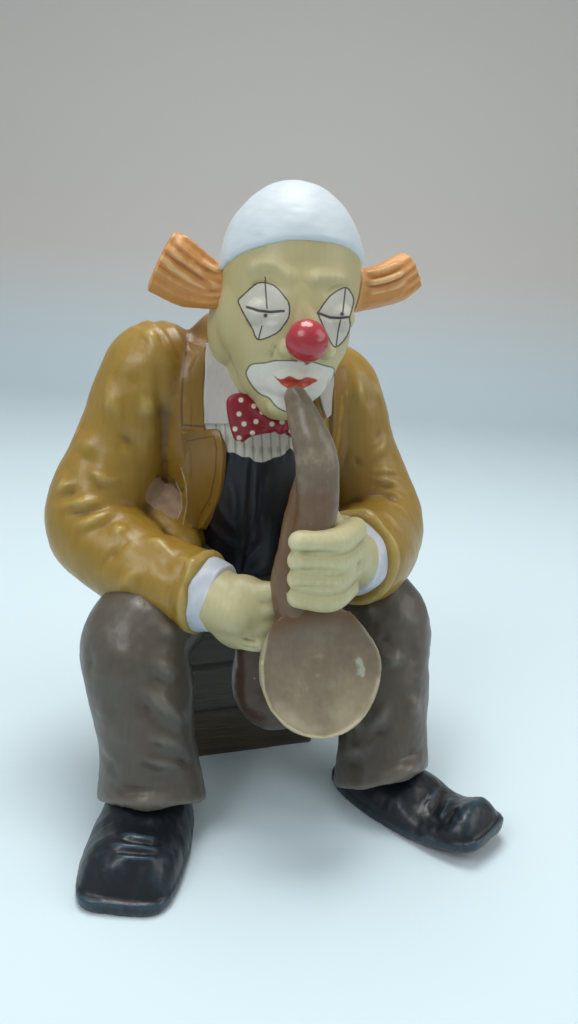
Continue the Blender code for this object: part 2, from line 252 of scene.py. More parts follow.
# WELD and PATCH_EDGE are in parts, FAR_SIDE in picture pixels, and the others are shares
WELD = 0.01
END_SHARE = 0.12
PATCH_EDGE = 0.4
GROOVE_DEPTH = 0.75
FAR_SIDE = -30.0


def unit(vector):
    vector = np.asarray(vector, float)
    return vector / np.linalg.norm(vector, axis=-1, keepdims=True)


def hump(distance):
    """A smooth hump: 1 at no distance, nearly 0 at 2."""
    return np.exp(-np.square(distance))


def ease(values, low, high):
    share = np.clip((values - low) / (high - low), 0, 1)
    return share * share * (3 - 2 * share)


def curve(values, t):
    """Catmull-Rom curve through the rows of values, for t from 0 to 1."""
    values = np.asarray(values, float)
    padded = np.vstack([2 * values[0] - values[1], values, 2 * values[-1] - values[-2]])
    place_on = np.clip(t, 0, 1) * (len(values) - 1)
    first = np.minimum(place_on.astype(int), len(values) - 2)
    f = (place_on - first)[:, None]
    a, b, c, d = (padded[first + k] for k in range(4))
    return b + 0.5 * f * (c - a + f * (2 * a - 5 * b + 4 * c - d + f * (3 * (b - c) + d - a)))


def read(things, name, width, kind=np.float32):
    values = np.empty(len(things) * width, kind)
    things.foreach_get(name, values)
    return values.reshape(-1, width) if width > 1 else values


def shaped(mesh, points):
    mesh.vertices.foreach_set("co", np.asarray(points, np.float32).ravel())
    mesh.update()
    return mesh


def grid_mesh(name, rows, columns):
    """A flat grid from -1 to 1 both ways, and its points."""
    sheet = bmesh.new()
    bmesh.ops.create_grid(sheet, x_segments=rows, y_segments=columns, size=1.0)
    mesh = bpy.data.meshes.new(name)
    sheet.to_mesh(mesh)
    sheet.free()
    return mesh, read(mesh.vertices, "co", 3)


def rolled(name, rows, columns, surface):
    """Roll a grid into a closed skin: surface(along, around) gives its points and closes both ends."""
    mesh, grid = grid_mesh(name, rows, columns)
    shaped(mesh, surface(grid[:, 0] / 2 + 0.5, grid[:, 1] / 2 + 0.5))
    skin = bmesh.new()
    skin.from_mesh(mesh)
    bmesh.ops.remove_doubles(skin, verts=skin.verts, dist=WELD)
    bmesh.ops.dissolve_degenerate(skin, edges=skin.edges, dist=WELD / 10)
    bmesh.ops.recalc_face_normals(skin, faces=skin.faces)
    skin.to_mesh(mesh)
    skin.free()
    return mesh


def limb(name, stations, side, round_ends=(1.0, 1.0), rows=60, columns=40, swell=None):
    """A tube through stations (x, y, z, half width along side, half depth), with rounded ends."""

    def surface(along, around):
        t = np.clip((along - END_SHARE) / (1 - 2 * END_SHARE), 0, 1)
        row = curve(stations, t)
        ahead, behind = curve(stations, np.minimum(t + 0.01, 1)), curve(stations, np.maximum(t - 0.01, 0))
        tangent = unit(ahead[:, :3] - behind[:, :3])
        across = unit(unit(side) - tangent * (tangent @ unit(side))[:, None])
        front = np.cross(tangent, across)
        opening = np.clip(1 - along / END_SHARE, 0, 1)
        closing = np.maximum(opening, np.clip((along - 1 + END_SHARE) / END_SHARE, 0, 1))
        scale = np.cos(closing * math.pi / 2)
        ends = np.where(along < 0.5, -round_ends[0], round_ends[1]) * np.sin(closing * math.pi / 2)
        angle = around * 2 * math.pi
        extra = swell(t, angle) if swell else 0.0
        wide = (row[:, 3] + extra) * scale
        deep = (row[:, 4] + extra) * scale
        radius = (row[:, 3] + row[:, 4]) / 2
        ring = across * (wide * np.cos(angle))[:, None] + front * (deep * np.sin(angle))[:, None]
        return row[:, :3] + tangent * (ends * radius)[:, None] + ring

    return rolled(name, rows, columns, surface)


def ball(name, centre, radii, turn=(0, 0, 0), rows=40, columns=56):
    """An ellipsoid, turned by degrees about X, Y and Z."""
    matrix = Matrix.Identity(3)
    for axis, degrees in zip("XYZ", turn):
        matrix = Matrix.Rotation(math.radians(degrees), 3, axis) @ matrix
    spin = np.array(matrix)

    def surface(along, around):
        out = np.sin(along * math.pi)
        angle = around * 2 * math.pi
        globe = np.stack([out * np.cos(angle), out * np.sin(angle), -np.cos(along * math.pi)], axis=1)
        return (globe * np.asarray(radii, float)) @ spin.T + np.asarray(centre, float)

    return rolled(name, rows, columns, surface)


def together(name, meshes):
    """One mesh of several shapes."""
    shapes = bmesh.new()
    for mesh in meshes:
        shapes.from_mesh(mesh)
        bpy.data.meshes.remove(mesh)
    mesh = bpy.data.meshes.new(name)
    shapes.to_mesh(mesh)
    shapes.free()
    return mesh


def melted(name, meshes, voxel, soften=3):
    """Overlapping shapes melted into one even skin."""
    lump = bpy.data.objects.new(name, together(name, meshes))
    bpy.context.scene.collection.objects.link(lump)
    skin = lump.modifiers.new("skin", "REMESH")
    skin.mode = "VOXEL"
    skin.voxel_size = voxel
    smooth = lump.modifiers.new("smooth", "SMOOTH")
    smooth.factor = 0.5
    smooth.iterations = soften
    graph = bpy.context.evaluated_depsgraph_get()
    mesh = bpy.data.meshes.new_from_object(lump.evaluated_get(graph))
    mesh.name = name
    bpy.data.objects.remove(lump)
    return mesh


class Clay:
    """A skin whose points are pushed about like clay."""

    def __init__(self, mesh):
        self.mesh = mesh
        self.points = read(mesh.vertices, "co", 3).astype(float)
        self.edges = read(mesh.edges, "vertices", 2, np.int32)
        self.count = np.bincount(self.edges.ravel(), minlength=len(self.points))
        self.settle()

    def settle(self):
        """Bring normals and the ray tree up to date with the points."""
        shaped(self.mesh, self.points)
        self.normals = read(self.mesh.vertices, "normal", 3).astype(float)
        block = bmesh.new()
        block.from_mesh(self.mesh)
        self.tree = BVHTree.FromBMesh(block)
        block.free()
        return self

    def averaged(self, values, rounds):
        first, second = self.edges.T
        total = len(self.points)
        for _ in range(rounds):
            sums = [np.bincount(first, v[second], total) + np.bincount(second, v[first], total)
                    for v in values.T]
            values = (values + np.stack(sums, axis=1) / self.count[:, None]) / 2
        return values

    def smooth(self, rounds, where=None):
        moved = self.averaged(self.points, rounds)
        share = 1.0 if where is None else where[:, None]
        self.points += (moved - self.points) * share
        return self

    def hit(self, across, down):
        """Point of the skin behind a picture point, or None."""
        found = self.tree.ray_cast(Vector(EYE), Vector(sight(across, down)))[0]
        return None if found is None else np.array(found)

    def seen(self, marks, spacing=3.0):
        """Path over the skin behind a line of picture points."""
        marks = np.asarray(marks, float)
        length = np.linalg.norm(np.diff(marks, axis=0), axis=1).sum()
        dense = curve(marks, np.linspace(0, 1, max(3, int(length / spacing) + 1)))
        found = [self.hit(*mark) for mark in dense]
        return np.array([f for f in found if f is not None])

    def onto(self, path, steps=12):
        """Path over the skin nearest to a line of points in parts."""
        dense = curve(path, np.linspace(0, 1, steps * (len(path) - 1) + 1))
        return np.array([self.tree.find_nearest(Vector(p))[0] for p in dense])

    def ridge(self, path, width, height, taper=0.3, cloth=False):
        """Raise a ridge along a path over the skin, or press a groove where height is below 0.

        A cloth fold has wide feet and thin ends.
        """
        if len(path) < 2:
            return self
        length = np.linalg.norm(np.diff(path, axis=0), axis=1).sum()
        line = curve(path, np.linspace(0, 1, max(4, int(length / 0.7))))
        reach = (4.0 if cloth else 2.2) * width
        near = np.all((self.points > line.min(0) - reach) & (self.points < line.max(0) + reach), axis=1)
        which = np.flatnonzero(near)
        if not len(which):
            return self
        gaps = np.square(self.points[which, None] - line[None]).sum(axis=2)
        closest = gaps.argmin(axis=1)
        share = closest / (len(line) - 1)
        fade = ease(np.minimum(share, 1 - share), -0.02, taper) if taper else 1.0
        away = np.sqrt(gaps.min(axis=1))
        if cloth:
            thin = width * (0.55 + 0.45 * fade)
            amount = height * fade * (0.6 * hump(away / thin) + 0.5 * hump(away / (2 * thin)))
        else:
            amount = height * fade * hump(away / width)
        self.points[which] += self.normals[which] * amount[:, None]
        return self

    def ridges(self, strokes, widen=1.0, raise_by=1.0, taper=0.3, cloth=False):
        """Several ridges from rows of (width, height, picture points)."""
        for width, height, marks in strokes:
            depth = height * raise_by * (1.0 if height > 0 else GROOVE_DEPTH)
            self.ridge(self.seen(marks), width * widen, depth, taper, cloth)
        return self

    def far_ridges(self, strokes, widen, raise_by=1.0):
        """Ridges on the sides that the picture hides, from rows of (width, height, points in parts)."""
        for width, height, path in strokes:
            self.ridge(self.onto(path), width * widen, height * raise_by, 0.5)
        return self

    def push(self, amounts):
        """Move every point along its normal."""
        self.points += self.normals * amounts[:, None]
        return self

    def wander(self, amount, scale, seed):
        """Push the skin in and out a little, as on a casting from a hand-made model."""
        return self.push(amount * waves(self.points, scale, seed))

    def mark(self, name, values):
        """Keep a value for each point, for the paint to read."""
        kept = self.mesh.attributes.new(name, "FLOAT", "POINT")
        kept.data.foreach_set("value", np.asarray(values, np.float32))
        return self

    def mark_relief(self, rounds=24, name="relief"):
        """Keep how far each point stands proud of its surroundings, in parts."""
        self.settle()
        calm = self.averaged(self.points, rounds)
        return self.mark(name, np.einsum("ij,ij->i", self.points - calm, self.normals))

    def mark_plane(self):
        """Keep each point's picture point for painted lines, or a far one where it faces away."""
        kept = self.mesh.attributes.new("plane", "FLOAT_VECTOR", "POINT")
        flat = np.zeros((len(self.points), 3), np.float32)
        flat[:, :2] = np.where(self.facing()[:, None] > 0, pictured(self.points) / PLANE_UNIT, BEHIND)
        kept.data.foreach_set("vector", flat.ravel())
        return self

    def facing(self):
        """How squarely each point faces the lens, above 0 on the near side."""
        return np.einsum("ij,ij->i", self.normals, unit(EYE - self.points))

    def mark_area(self, name, outline):
        """Keep how many picture pixels each point lies inside a rounded outline, below 0 outside it."""
        closed = np.array([*outline, *outline[:2]], float)
        share = np.linspace(0, 1, 5 * len(outline) + 6)[:-1] * (len(outline) / (len(outline) + 1))
        depth = inside(pictured(self.points), curve(closed, share))
        return self.mark(name, np.where(self.facing() > 0.0, depth, FAR_SIDE))


def inside(spots, outline):
    """Signed distance from spots to an outline's edge, above 0 inside."""
    outline = np.asarray(outline, float)
    nearest = np.full(len(spots), 1e9)
    crossings = np.zeros(len(spots), int)
    for a, b in zip(outline, np.roll(outline, -1, axis=0)):
        away, run = spots - a, b - a
        share = np.clip(away @ run / (run @ run), 0, 1)
        nearest = np.minimum(nearest, np.linalg.norm(away - share[:, None] * run, axis=1))
        spans = (a[1] > spots[:, 1]) != (b[1] > spots[:, 1])
        with np.errstate(divide="ignore", invalid="ignore"):
            crossing_x = a[0] + (spots[:, 1] - a[1]) * run[0] / run[1]
        crossings += spans & (spots[:, 0] < crossing_x)
    return np.where(crossings % 2 == 1, nearest, -nearest)


def waves(points, scale, seed, octaves=3):
    """Smooth wandering values about 0 from a few crossed sine waves, the same every run."""
    rng = np.random.default_rng(seed)
    total = np.zeros(len(points))
    for octave in range(octaves):
        for _ in range(5):
            way = unit(rng.normal(size=3)) * (2 * math.pi / scale) * 2 ** octave
            total += np.sin(points @ way + rng.uniform(0, 6.28)) / 2 ** octave / 3
    return total


def piece(name, mesh, paint):
    """Set a finished mesh in the scene as a piece of the casting."""
    mesh.name = name
    shaped(mesh, metres(read(mesh.vertices, "co", 3)))
    mesh.polygons.foreach_set("use_smooth", np.full(len(mesh.polygons), True))
    mesh.materials.clear()
    mesh.materials.append(paint)
    thing = bpy.data.objects.new(name, mesh)
    bpy.context.scene.collection.objects.link(thing)
    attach(thing, "root")
    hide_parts("figurine")
    return thing


def patch(name, left, right, carriers, lift, thickness, rows=40, columns=16):
    """A sheet with rolled edges between two edges of picture points.

    It lies above the smoothed carriers, by one lift at its left edge and another at its right.
    """
    grid_rows = np.linspace(0, 1, rows)
    left_edge, right_edge = (curve(edge, grid_rows) for edge in (left, right))
    shares = np.linspace(0, 1, columns)
    spots = left_edge[:, None] * (1 - shares[None, :, None]) + right_edge[:, None] * shares[None, :, None]
    depths = np.full((rows, columns), np.nan)
    for r in range(rows):
        for c in range(columns):
            found = [skin.hit(*spots[r, c]) for skin in carriers]
            gaps = [np.linalg.norm(f - EYE) for f in found if f is not None]
            if gaps:
                depths[r, c] = min(gaps)
    u, v = np.meshgrid(grid_rows, shares, indexing="ij")
    terms = np.stack([np.ones_like(u), u, v, u * v, u * u, v * v, u * u * v, u * v * v, u ** 3], axis=-1)
    known = ~np.isnan(depths)
    fit = np.linalg.lstsq(terms[known], depths[known], rcond=None)[0]
    calm = terms @ fit - (lift[0] + (lift[1] - lift[0]) * v)
    ways = sight(spots[..., 0], spots[..., 1])
    front = EYE + ways * calm[..., None]
    mesh, grid = grid_mesh(name, rows - 1, columns - 1)
    row = np.round((grid[:, 0] / 2 + 0.5) * (rows - 1)).astype(int)
    column = np.round((grid[:, 1] / 2 + 0.5) * (columns - 1)).astype(int)
    shaped(mesh, front[row, column])
    sheet = bmesh.new()
    sheet.from_mesh(mesh)
    bmesh.ops.recalc_face_normals(sheet, faces=sheet.faces)
    sheet.normal_update()
    middle = sheet.faces[:][len(sheet.faces) // 2]
    if middle.normal @ Vector(FORWARD) > 0:
        bmesh.ops.reverse_faces(sheet, faces=sheet.faces)
    bmesh.ops.solidify(sheet, geom=sheet.faces[:], thickness=thickness)
    sheet.normal_update()
    edges = [e for e in sheet.edges if len(e.link_faces) == 2 and e.calc_face_angle(0) > 1.0]
    bmesh.ops.bevel(sheet, geom=edges, offset=PATCH_EDGE, segments=3, affect="EDGES", profile=0.5,
                    material=-1)
    bmesh.ops.recalc_face_normals(sheet, faces=sheet.faces)
    sheet.to_mesh(mesh)
    sheet.free()
    return mesh


# Paints

def cloth_paint(name, base, light, dark):
    """Satin paint over carved folds: darker in the hollows and lighter on the ridges, partly a wash and dry
    brush in the paint and partly painted shade and painted highlight, with fine brush lines.
    """
    paint = Paint(name)
    relief = paint.mark("relief")
    broad = paint.mark("broad")
    cloud = paint.noise(28, 3)
    lines = paint.noise(420, 2, (1, 1, 0.12))
    # low darkens the hollows and broad hollows, partly wash and partly painted shade; high lightens the
    # ridges, partly dry brush and partly painted highlight
    low = (-relief * 1.2 - broad * 0.40 + cloud * 0.10).step(0.10, 1.6)
    high = (relief * 1.2 + broad * 0.30 + cloud * 0.12 + lines * 0.05).step(0.15, 1.5)
    colour = paint.mix(low * 0.85, paint_colour(base), paint_colour(dark))
    colour = paint.mix(high * 0.55, colour, paint_colour(light))
    return paint, paint.shade(cloud * 0.6 + lines, colour, 0.10), low, high, lines


def jacket_paint():
    paint, colour, low, high, lines = cloth_paint("mustard jacket paint", "96762A", "C2AA62", "5C4014")
    # Painted shade on the chest under the head, on the collar under the right tuft and over the lapel pieces
    shaded = paint.mark("shaded")
    colour = paint.mix(shaded * 0.6, colour, paint_colour("6B430E"))
    plane = paint.plane()
    brushed = paint.noise(300, 3)
    seams = paint.stroke(plane, [(187, 441), (214, 436), (216.5, 449), (215.5, 472), (210.5, 497),
                                 (201, 513)], 0.9, 0.7)
    edge = paint.stroke(plane, [(189, 334), (183.5, 369), (181.5, 402), (182, 425), (205, 426.5)], 1.4, 1.2)
    colour = paint.mix(seams.most(edge) * 0.7, colour, paint_colour("3E260C"))
    bare = paint.mark("bare")
    ragged = paint.noise(260, 3)
    patch_mask = (bare + ragged * 1.8).step(-0.8, 0.8)
    colour = paint.mix(patch_mask, colour, paint.shade(brushed + ragged, paint_colour("A78A70"), 0.2))
    # Painted shade in the slit above the web behind the right arm
    web_slit_shade = (paint.stroke(plane, [(161, 476), (172, 481), (180, 490)], 7, 6) + brushed * 0.8).step(0.5, 1.3)
    colour = paint.mix(web_slit_shade * 0.8, colour, paint_colour("3A2A18"))
    creases = paint.stroke(plane, [(181, 468), (186, 484), (187, 503), (183, 524)], 1.2, 1.2)
    creases = creases.most(paint.stroke(plane, [(176, 482), (181, 494), (182, 508), (177, 520)], 0.9, 1.0))
    pale = (creases + brushed * 0.5).step(0.4, 1.2)
    colour = paint.mix(pale * 0.75, colour, paint_colour("C9B896"))
    grain = paint.noise(900, 2)
    rough = 0.35 + high * -0.05 + low * 0.14 + patch_mask * 0.25 + grain * 0.03
    height = lines * 0.25 + grain * 0.12 - patch_mask * 0.5
    return paint.finish(colour, rough, height, depth=0.00018)


def trouser_paint():
    paint, colour, low, high, lines = cloth_paint("brown trouser paint", "544D43", "7C756B", "33271F")
    rust = paint.noise(34, 3, distort=0.6).step(0.1, 0.9)
    colour = paint.mix(rust * 0.35, colour, paint_colour("55362F"))
    grain = paint.noise(900, 2)
    rough = 0.36 + high * -0.04 + low * 0.14 + grain * 0.03
    return paint.finish(colour, rough, lines * 0.25 + grain * 0.1, depth=0.00016)


def plain_paint(name, base, light, dark, rough=0.45, streaks=(1, 1, 0.2), strength=0.07):
    """Brushed paint on a calm form: the paint, its colour, its roughness and what varies them."""
    paint = Paint(name)
    relief = paint.mark("relief")
    cloud = paint.noise(45, 3)
    lines = paint.noise(520, 2, streaks)
    # Darker in the hollows and lighter on the ridges: partly a wash and dry brush in the paint, partly
    # painted shade and painted highlight
    low = (-relief * 2.2 + cloud * 0.12).step(0.05, 0.9)
    high = (relief * 2.0 + cloud * 0.15 + lines * 0.08).step(0.10, 0.9)
    colour = paint.mix(low, paint_colour(base), paint_colour(dark))
    colour = paint.mix(high * 0.7, colour, paint_colour(light))
    colour = paint.shade(cloud * 0.6 + lines, colour, strength)
    return paint, colour, rough + cloud * 0.03 + low * 0.1, lines, cloud, low


def simple(name, base, light, dark, coat=0.0, **more):
    """The material of one brushed paint."""
    paint, colour, rough, lines, cloud, _ = plain_paint(name, base, light, dark, **more)
    return paint.finish(colour, rough, lines * 0.3 + cloud * 0.2, coat=coat)


# Stage

BACKDROP_HALF = (3.5, 3.2)
FLOOR_START = -2.2
FLOOR_RUN = 3.4
BEND_RADIUS = 0.5
SKY_COLOUR = (0.90, 0.96, 1.0, 1)
SKY_STRENGTH = 0.42

# Name, place, aim, size across in metres, power in watts, colour
LIGHTS = (
    ("ceiling", (-0.02, 0.16, 1.32), (0, -0.05, 0.10), 0.7, 10.5, (1.0, 0.99, 0.97)),
    ("window", (-0.80, -0.45, 1.00), (0, -0.05, 0.14), 0.6, 4.2, (0.97, 0.99, 1.0)),
    ("room", (0.90, -0.45, 0.75), (0, -0.05, 0.12), 0.8, 3.0, (1.0, 0.98, 0.95)),
)


def set_stage():
    """A pale floor that curves up into a plain backdrop."""
    mesh, grid = grid_mesh("backdrop", 40, 120)
    run = (grid[:, 1] + 1) * BACKDROP_HALF[1]
    bend = np.clip((run - FLOOR_RUN) / BEND_RADIUS, 0, math.pi / 2)
    rise = np.clip(run - FLOOR_RUN - BEND_RADIUS * math.pi / 2, 0, None)
    back = FLOOR_START + np.minimum(run, FLOOR_RUN) + BEND_RADIUS * np.sin(bend)
    height = BEND_RADIUS * (1 - np.cos(bend)) + rise
    local = np.stack([grid[:, 0] * BACKDROP_HALF[0], back, height], axis=1)
    turned = local[:, :1] * RIGHTWARD + local[:, 1:2] * AHEAD + local[:, 2:] * (0, 0, 1)
    shaped(mesh, turned)
    mesh.polygons.foreach_set("use_smooth", np.full(len(mesh.polygons), True))
    paint = Paint("stage paint", specular=0.2)
    level = paint.node("ShaderNodeSeparateXYZ", inputs={0: paint.place}, output=2)
    colour = paint.mix(level.step(0.0, 0.35), paint_colour("D5E7EE"), paint_colour("DED7D1"))
    mesh.materials.append(paint.finish(colour, 0.7 + paint.noise(6) * 0.02))
    backdrop = bpy.data.objects.new("backdrop", mesh)
    bpy.context.scene.collection.objects.link(backdrop)


def set_light(name, place, aim, size, power, colour):
    """A disc of soft light."""
    data = bpy.data.lights.new(name, "AREA")
    data.shape = "DISK"
    data.size = size
    data.energy = power
    data.color = colour
    lamp = bpy.data.objects.new(name, data)
    lamp.location = place
    lamp.rotation_mode = "QUATERNION"
    lamp.rotation_quaternion = (Vector(aim) - Vector(place)).to_track_quat("-Z", "Y")
    bpy.context.scene.collection.objects.link(lamp)


def set_lights():
    """Overhead light, a cooler window on the left and a weak fill on the right, in a bright room."""
    world = bpy.data.worlds.new("room")
    world.use_nodes = True
    sky = world.node_tree.nodes["Background"]
    sky.inputs["Color"].default_value = SKY_COLOUR
    sky.inputs["Strength"].default_value = SKY_STRENGTH
    bpy.context.scene.world = world
    for light in LIGHTS:
        set_light(*light)
    bpy.context.scene.view_settings.view_transform = "Standard"


# Jacket

RIGHT_ARM = [(-44, 2, 206, 22, 22), (-51, 0, 203, 25, 26), (-66, -2, 166, 24, 25), (-81, -12, 131, 25, 25),
             (-67, -38, 117, 22, 22), (-50, -57, 112, 21, 21), (-36, -71, 111, 19.5, 20)]
LEFT_ARM = [(42, 2, 200, 22, 22), (51, 0, 196, 24, 25), (63, -4, 163, 24, 25), (76, -18, 130, 24, 25),
            (64, -40, 122, 24, 24), (49, -60, 123, 24, 24), (36, -72, 126, 22, 23)]
TORSO = [(0, 2, 82.5, 42, 34), (0, 0, 104, 42, 34), (0, -4, 130, 41, 34), (0, -8, 160, 49, 35),
         (0, -9, 186, 53, 34),
         (1, -7, 206, 52, 29), (2, -8, 222, 38, 24), (3, -14, 233, 24, 19)]
# The web of casting behind the right arm
WEB = [(-54, 4, 166, 12, 14), (-51, 0, 148, 15, 14), (-48, -10, 132, 17, 14), (-44, -26, 119, 16, 14)]
RIGHT_SLEEVE_SIDE = (0.79, 0.6, 0.1)
LEFT_SLEEVE_SIDE = (0.79, -0.6, 0.1)
SLEEVE_RIMS = ((RIGHT_ARM, 20.5), (LEFT_ARM, 22.5))
CUFFS = (("right", RIGHT_ARM, 18), ("left", LEFT_ARM, 19))
CLOTH_VOXEL = 1.3
FRONT_LEVELS = [84, 118, 135, 160, 185, 215, 233]
FRONT_GAPS = [22, 32, 42, 36, 36, 42, 48]
FRONT_DEPTH = 12.0
FRONT_TURN = 98
BARE_PATCH = [(150, 483), (158, 477), (166, 484), (178, 484), (182, 498), (180, 514), (173, 519), (161, 512),
              (151, 505), (145, 499)]


def jacket_front(t, angle):
    """Sink the front between the jacket's edges: half the gap in degrees, by level up the torso."""
    height = FRONT_LEVELS[0] + (FRONT_LEVELS[-1] - FRONT_LEVELS[0]) * t
    off_centre = np.abs((np.degrees(angle) + FRONT_TURN + 180) % 360 - 180)
    gap = np.interp(height, FRONT_LEVELS, FRONT_GAPS)
    return -FRONT_DEPTH / (1 + np.exp(off_centre - gap))


def wrist_of(arm):
    """The end of an arm, and the way that it points."""
    wrist = np.array(arm[-1][:3], float)
    return wrist, unit(wrist - np.array(arm[-2][:3]))


# Folds read off the picture: half width and height in parts, then picture points
RIGHT_SLEEVE_FOLDS = [
    (3.0, 1.3, [(148, 323), (152, 336), (157, 350)]),
    (2.6, -0.9, [(157, 322), (161, 336), (166, 352)]),
    (3.0, -0.9, [(139, 326), (143, 342), (149, 356)]),
    (4.5, 1.5, [(106, 371), (110, 385), (112, 401), (118, 412), (125, 422)]),
    (3.0, -1.0, [(132, 369), (134, 383), (137, 396)]),
    (3.6, 1.3, [(138, 392), (148, 407), (159, 422)]),
    (2.6, -1.8, [(109, 424), (127, 440), (146, 456)]),
    (4.0, 1.2, [(74, 438), (88, 445), (102, 452)]),
    (3.0, -1.1, [(72, 452), (88, 461), (104, 466)]),
    (2.6, 1.4, [(83, 465), (96, 474), (109, 481), (127, 477)]),
    (2.2, -1.3, [(88, 474), (100, 485), (118, 488)]),
    (3.2, 1.5, [(54, 493), (65, 486), (77, 481)]),
    (2.4, -1.5, [(52, 500), (68, 493), (84, 489)]),
    (3.2, 2.2, [(56, 504), (70, 504), (86, 503), (100, 502), (111, 499)]),
    (2.4, -1.9, [(60, 514), (78, 513), (96, 511), (112, 506)]),
    (3.0, 1.8, [(70, 527), (82, 524), (95, 520), (106, 514), (116, 507)]),
    (2.4, -1.4, [(76, 536), (94, 530), (112, 520), (126, 512)]),
    (3.0, 1.6, [(106, 534), (119, 530), (132, 525)]),
    (2.8, 1.6, [(136, 541), (148, 541), (159, 543), (167, 551), (173, 560)]),
    (2.4, -1.6, [(97, 569), (108, 560), (120, 548), (132, 539)]),
    (2.2, -1.4, [(164, 520), (166, 531), (169, 541)]),
    (3.2, 1.2, [(150, 500), (162, 512), (176, 530), (186, 545)]),
    (2.6, -1.0, [(152, 553), (164, 566), (172, 582)]),
    (3.6, 0.9, [(110, 590), (128, 580), (144, 566)]),
    (3.0, 1.5, [(176, 556), (190, 563), (202, 572)]),
    (2.6, -1.2, [(178, 582), (188, 588), (194, 600)]),
    (3.2, -2.0, [(155, 357), (158, 380), (160, 403), (162, 426), (161, 452), (159, 474)]),
    (3.2, 1.1, [(62, 412), (70, 424), (80, 432)]),
    (2.6, -0.9, [(50, 470), (62, 468), (74, 464)]),
]
LEFT_SLEEVE_FOLDS = [
    (2.6, 1.0, [(372, 372), (378, 392), (384, 412)]),
    (2.4, -0.9, [(364, 376), (369, 396), (373, 416)]),
    (2.4, 0.9, [(356, 372), (360, 392), (362, 412)]),
    (2.8, 1.4, [(391, 430), (387, 440), (380, 448), (372, 454), (363, 458)]),
    (2.2, -1.2, [(383, 417), (380, 429), (376, 441), (366, 450)]),
    (2.4, 1.5, [(365, 470), (383, 470), (402, 472)]),
    (1.8, -1.3, [(366, 474), (384, 475), (404, 479)]),
    (2.2, 1.4, [(365, 476), (374, 477), (383, 479), (395, 482), (407, 487)]),
    (1.8, -1.3, [(370, 483), (386, 487), (404, 495)]),
    (2.2, 1.4, [(372, 489), (382, 491), (393, 493), (403, 498), (413, 504)]),
    (1.8, -1.3, [(378, 492), (392, 499), (408, 512)]),
    (2.2, 1.4, [(380, 496), (389, 502), (398, 507), (405, 514), (411, 522)]),
    (1.8, -1.3, [(378, 502), (392, 513), (406, 528)]),
    (2.2, 1.4, [(376, 507), (386, 516), (396, 526), (404, 537)]),
    (1.8, -1.2, [(374, 514), (386, 526), (396, 540)]),
    (2.2, -1.6, [(361, 458), (357, 462), (354, 467)]),
    (2.6, 1.4, [(341, 509), (353, 509), (365, 511), (373, 517), (380, 524)]),
    (2.0, -1.2, [(346, 500), (358, 500), (370, 503)]),
    (2.4, -0.9, [(400, 404), (404, 424), (404, 444)]),
]
# Folds of the hidden sides: half width and height, then points, all in parts
BACK_FOLDS = [
    (3.6, -1.4, [(-30, 30, 196), (-26, 32, 170), (-22, 34, 140)]),
    (3.6, -1.4, [(30, 30, 196), (27, 32, 168), (24, 34, 138)]),
    (4.5, 1.2, [(-40, 24, 186), (-30, 32, 160), (-26, 34, 132)]),
    (4.5, 1.2, [(40, 24, 184), (31, 32, 158), (28, 34, 130)]),
    (1.6, -1.3, [(0, 24, 216), (0, 28, 190), (0, 30, 150), (0, 36, 112), (0, 38, 90)]),
    (3.0, 1.4, [(-24, 30, 122), (0, 34, 116), (24, 30, 122)]),
    (2.6, -1.4, [(-30, 30, 116), (0, 36, 109), (30, 30, 116)]),
    (3.0, 1.3, [(-28, 30, 106), (-4, 36, 102), (22, 32, 108)]),
    (3.0, 1.6, [(-88, 14, 150), (-76, 24, 142), (-62, 22, 140)]),
    (2.6, -1.5, [(-92, 10, 141), (-80, 20, 134), (-62, 18, 131)]),
    (3.0, 1.6, [(-96, 0, 136), (-84, 14, 126), (-66, 8, 122)]),
    (2.6, -1.4, [(-98, -10, 126), (-84, 6, 116), (-64, -6, 112)]),
    (3.0, 1.6, [(84, 16, 150), (72, 22, 142), (60, 20, 141)]),
    (2.6, -1.5, [(90, 8, 141), (78, 16, 134), (62, 14, 131)]),
    (3.0, 1.6, [(94, -2, 136), (82, 8, 126), (64, 4, 124)]),
    (2.6, -1.4, [(96, -14, 128), (82, 0, 116), (62, -8, 113)]),
    (3.2, 1.3, [(-60, 22, 204), (-66, 24, 184), (-72, 22, 168)]),
    (3.2, 1.3, [(58, 22, 198), (64, 24, 180), (68, 20, 164)]),
]


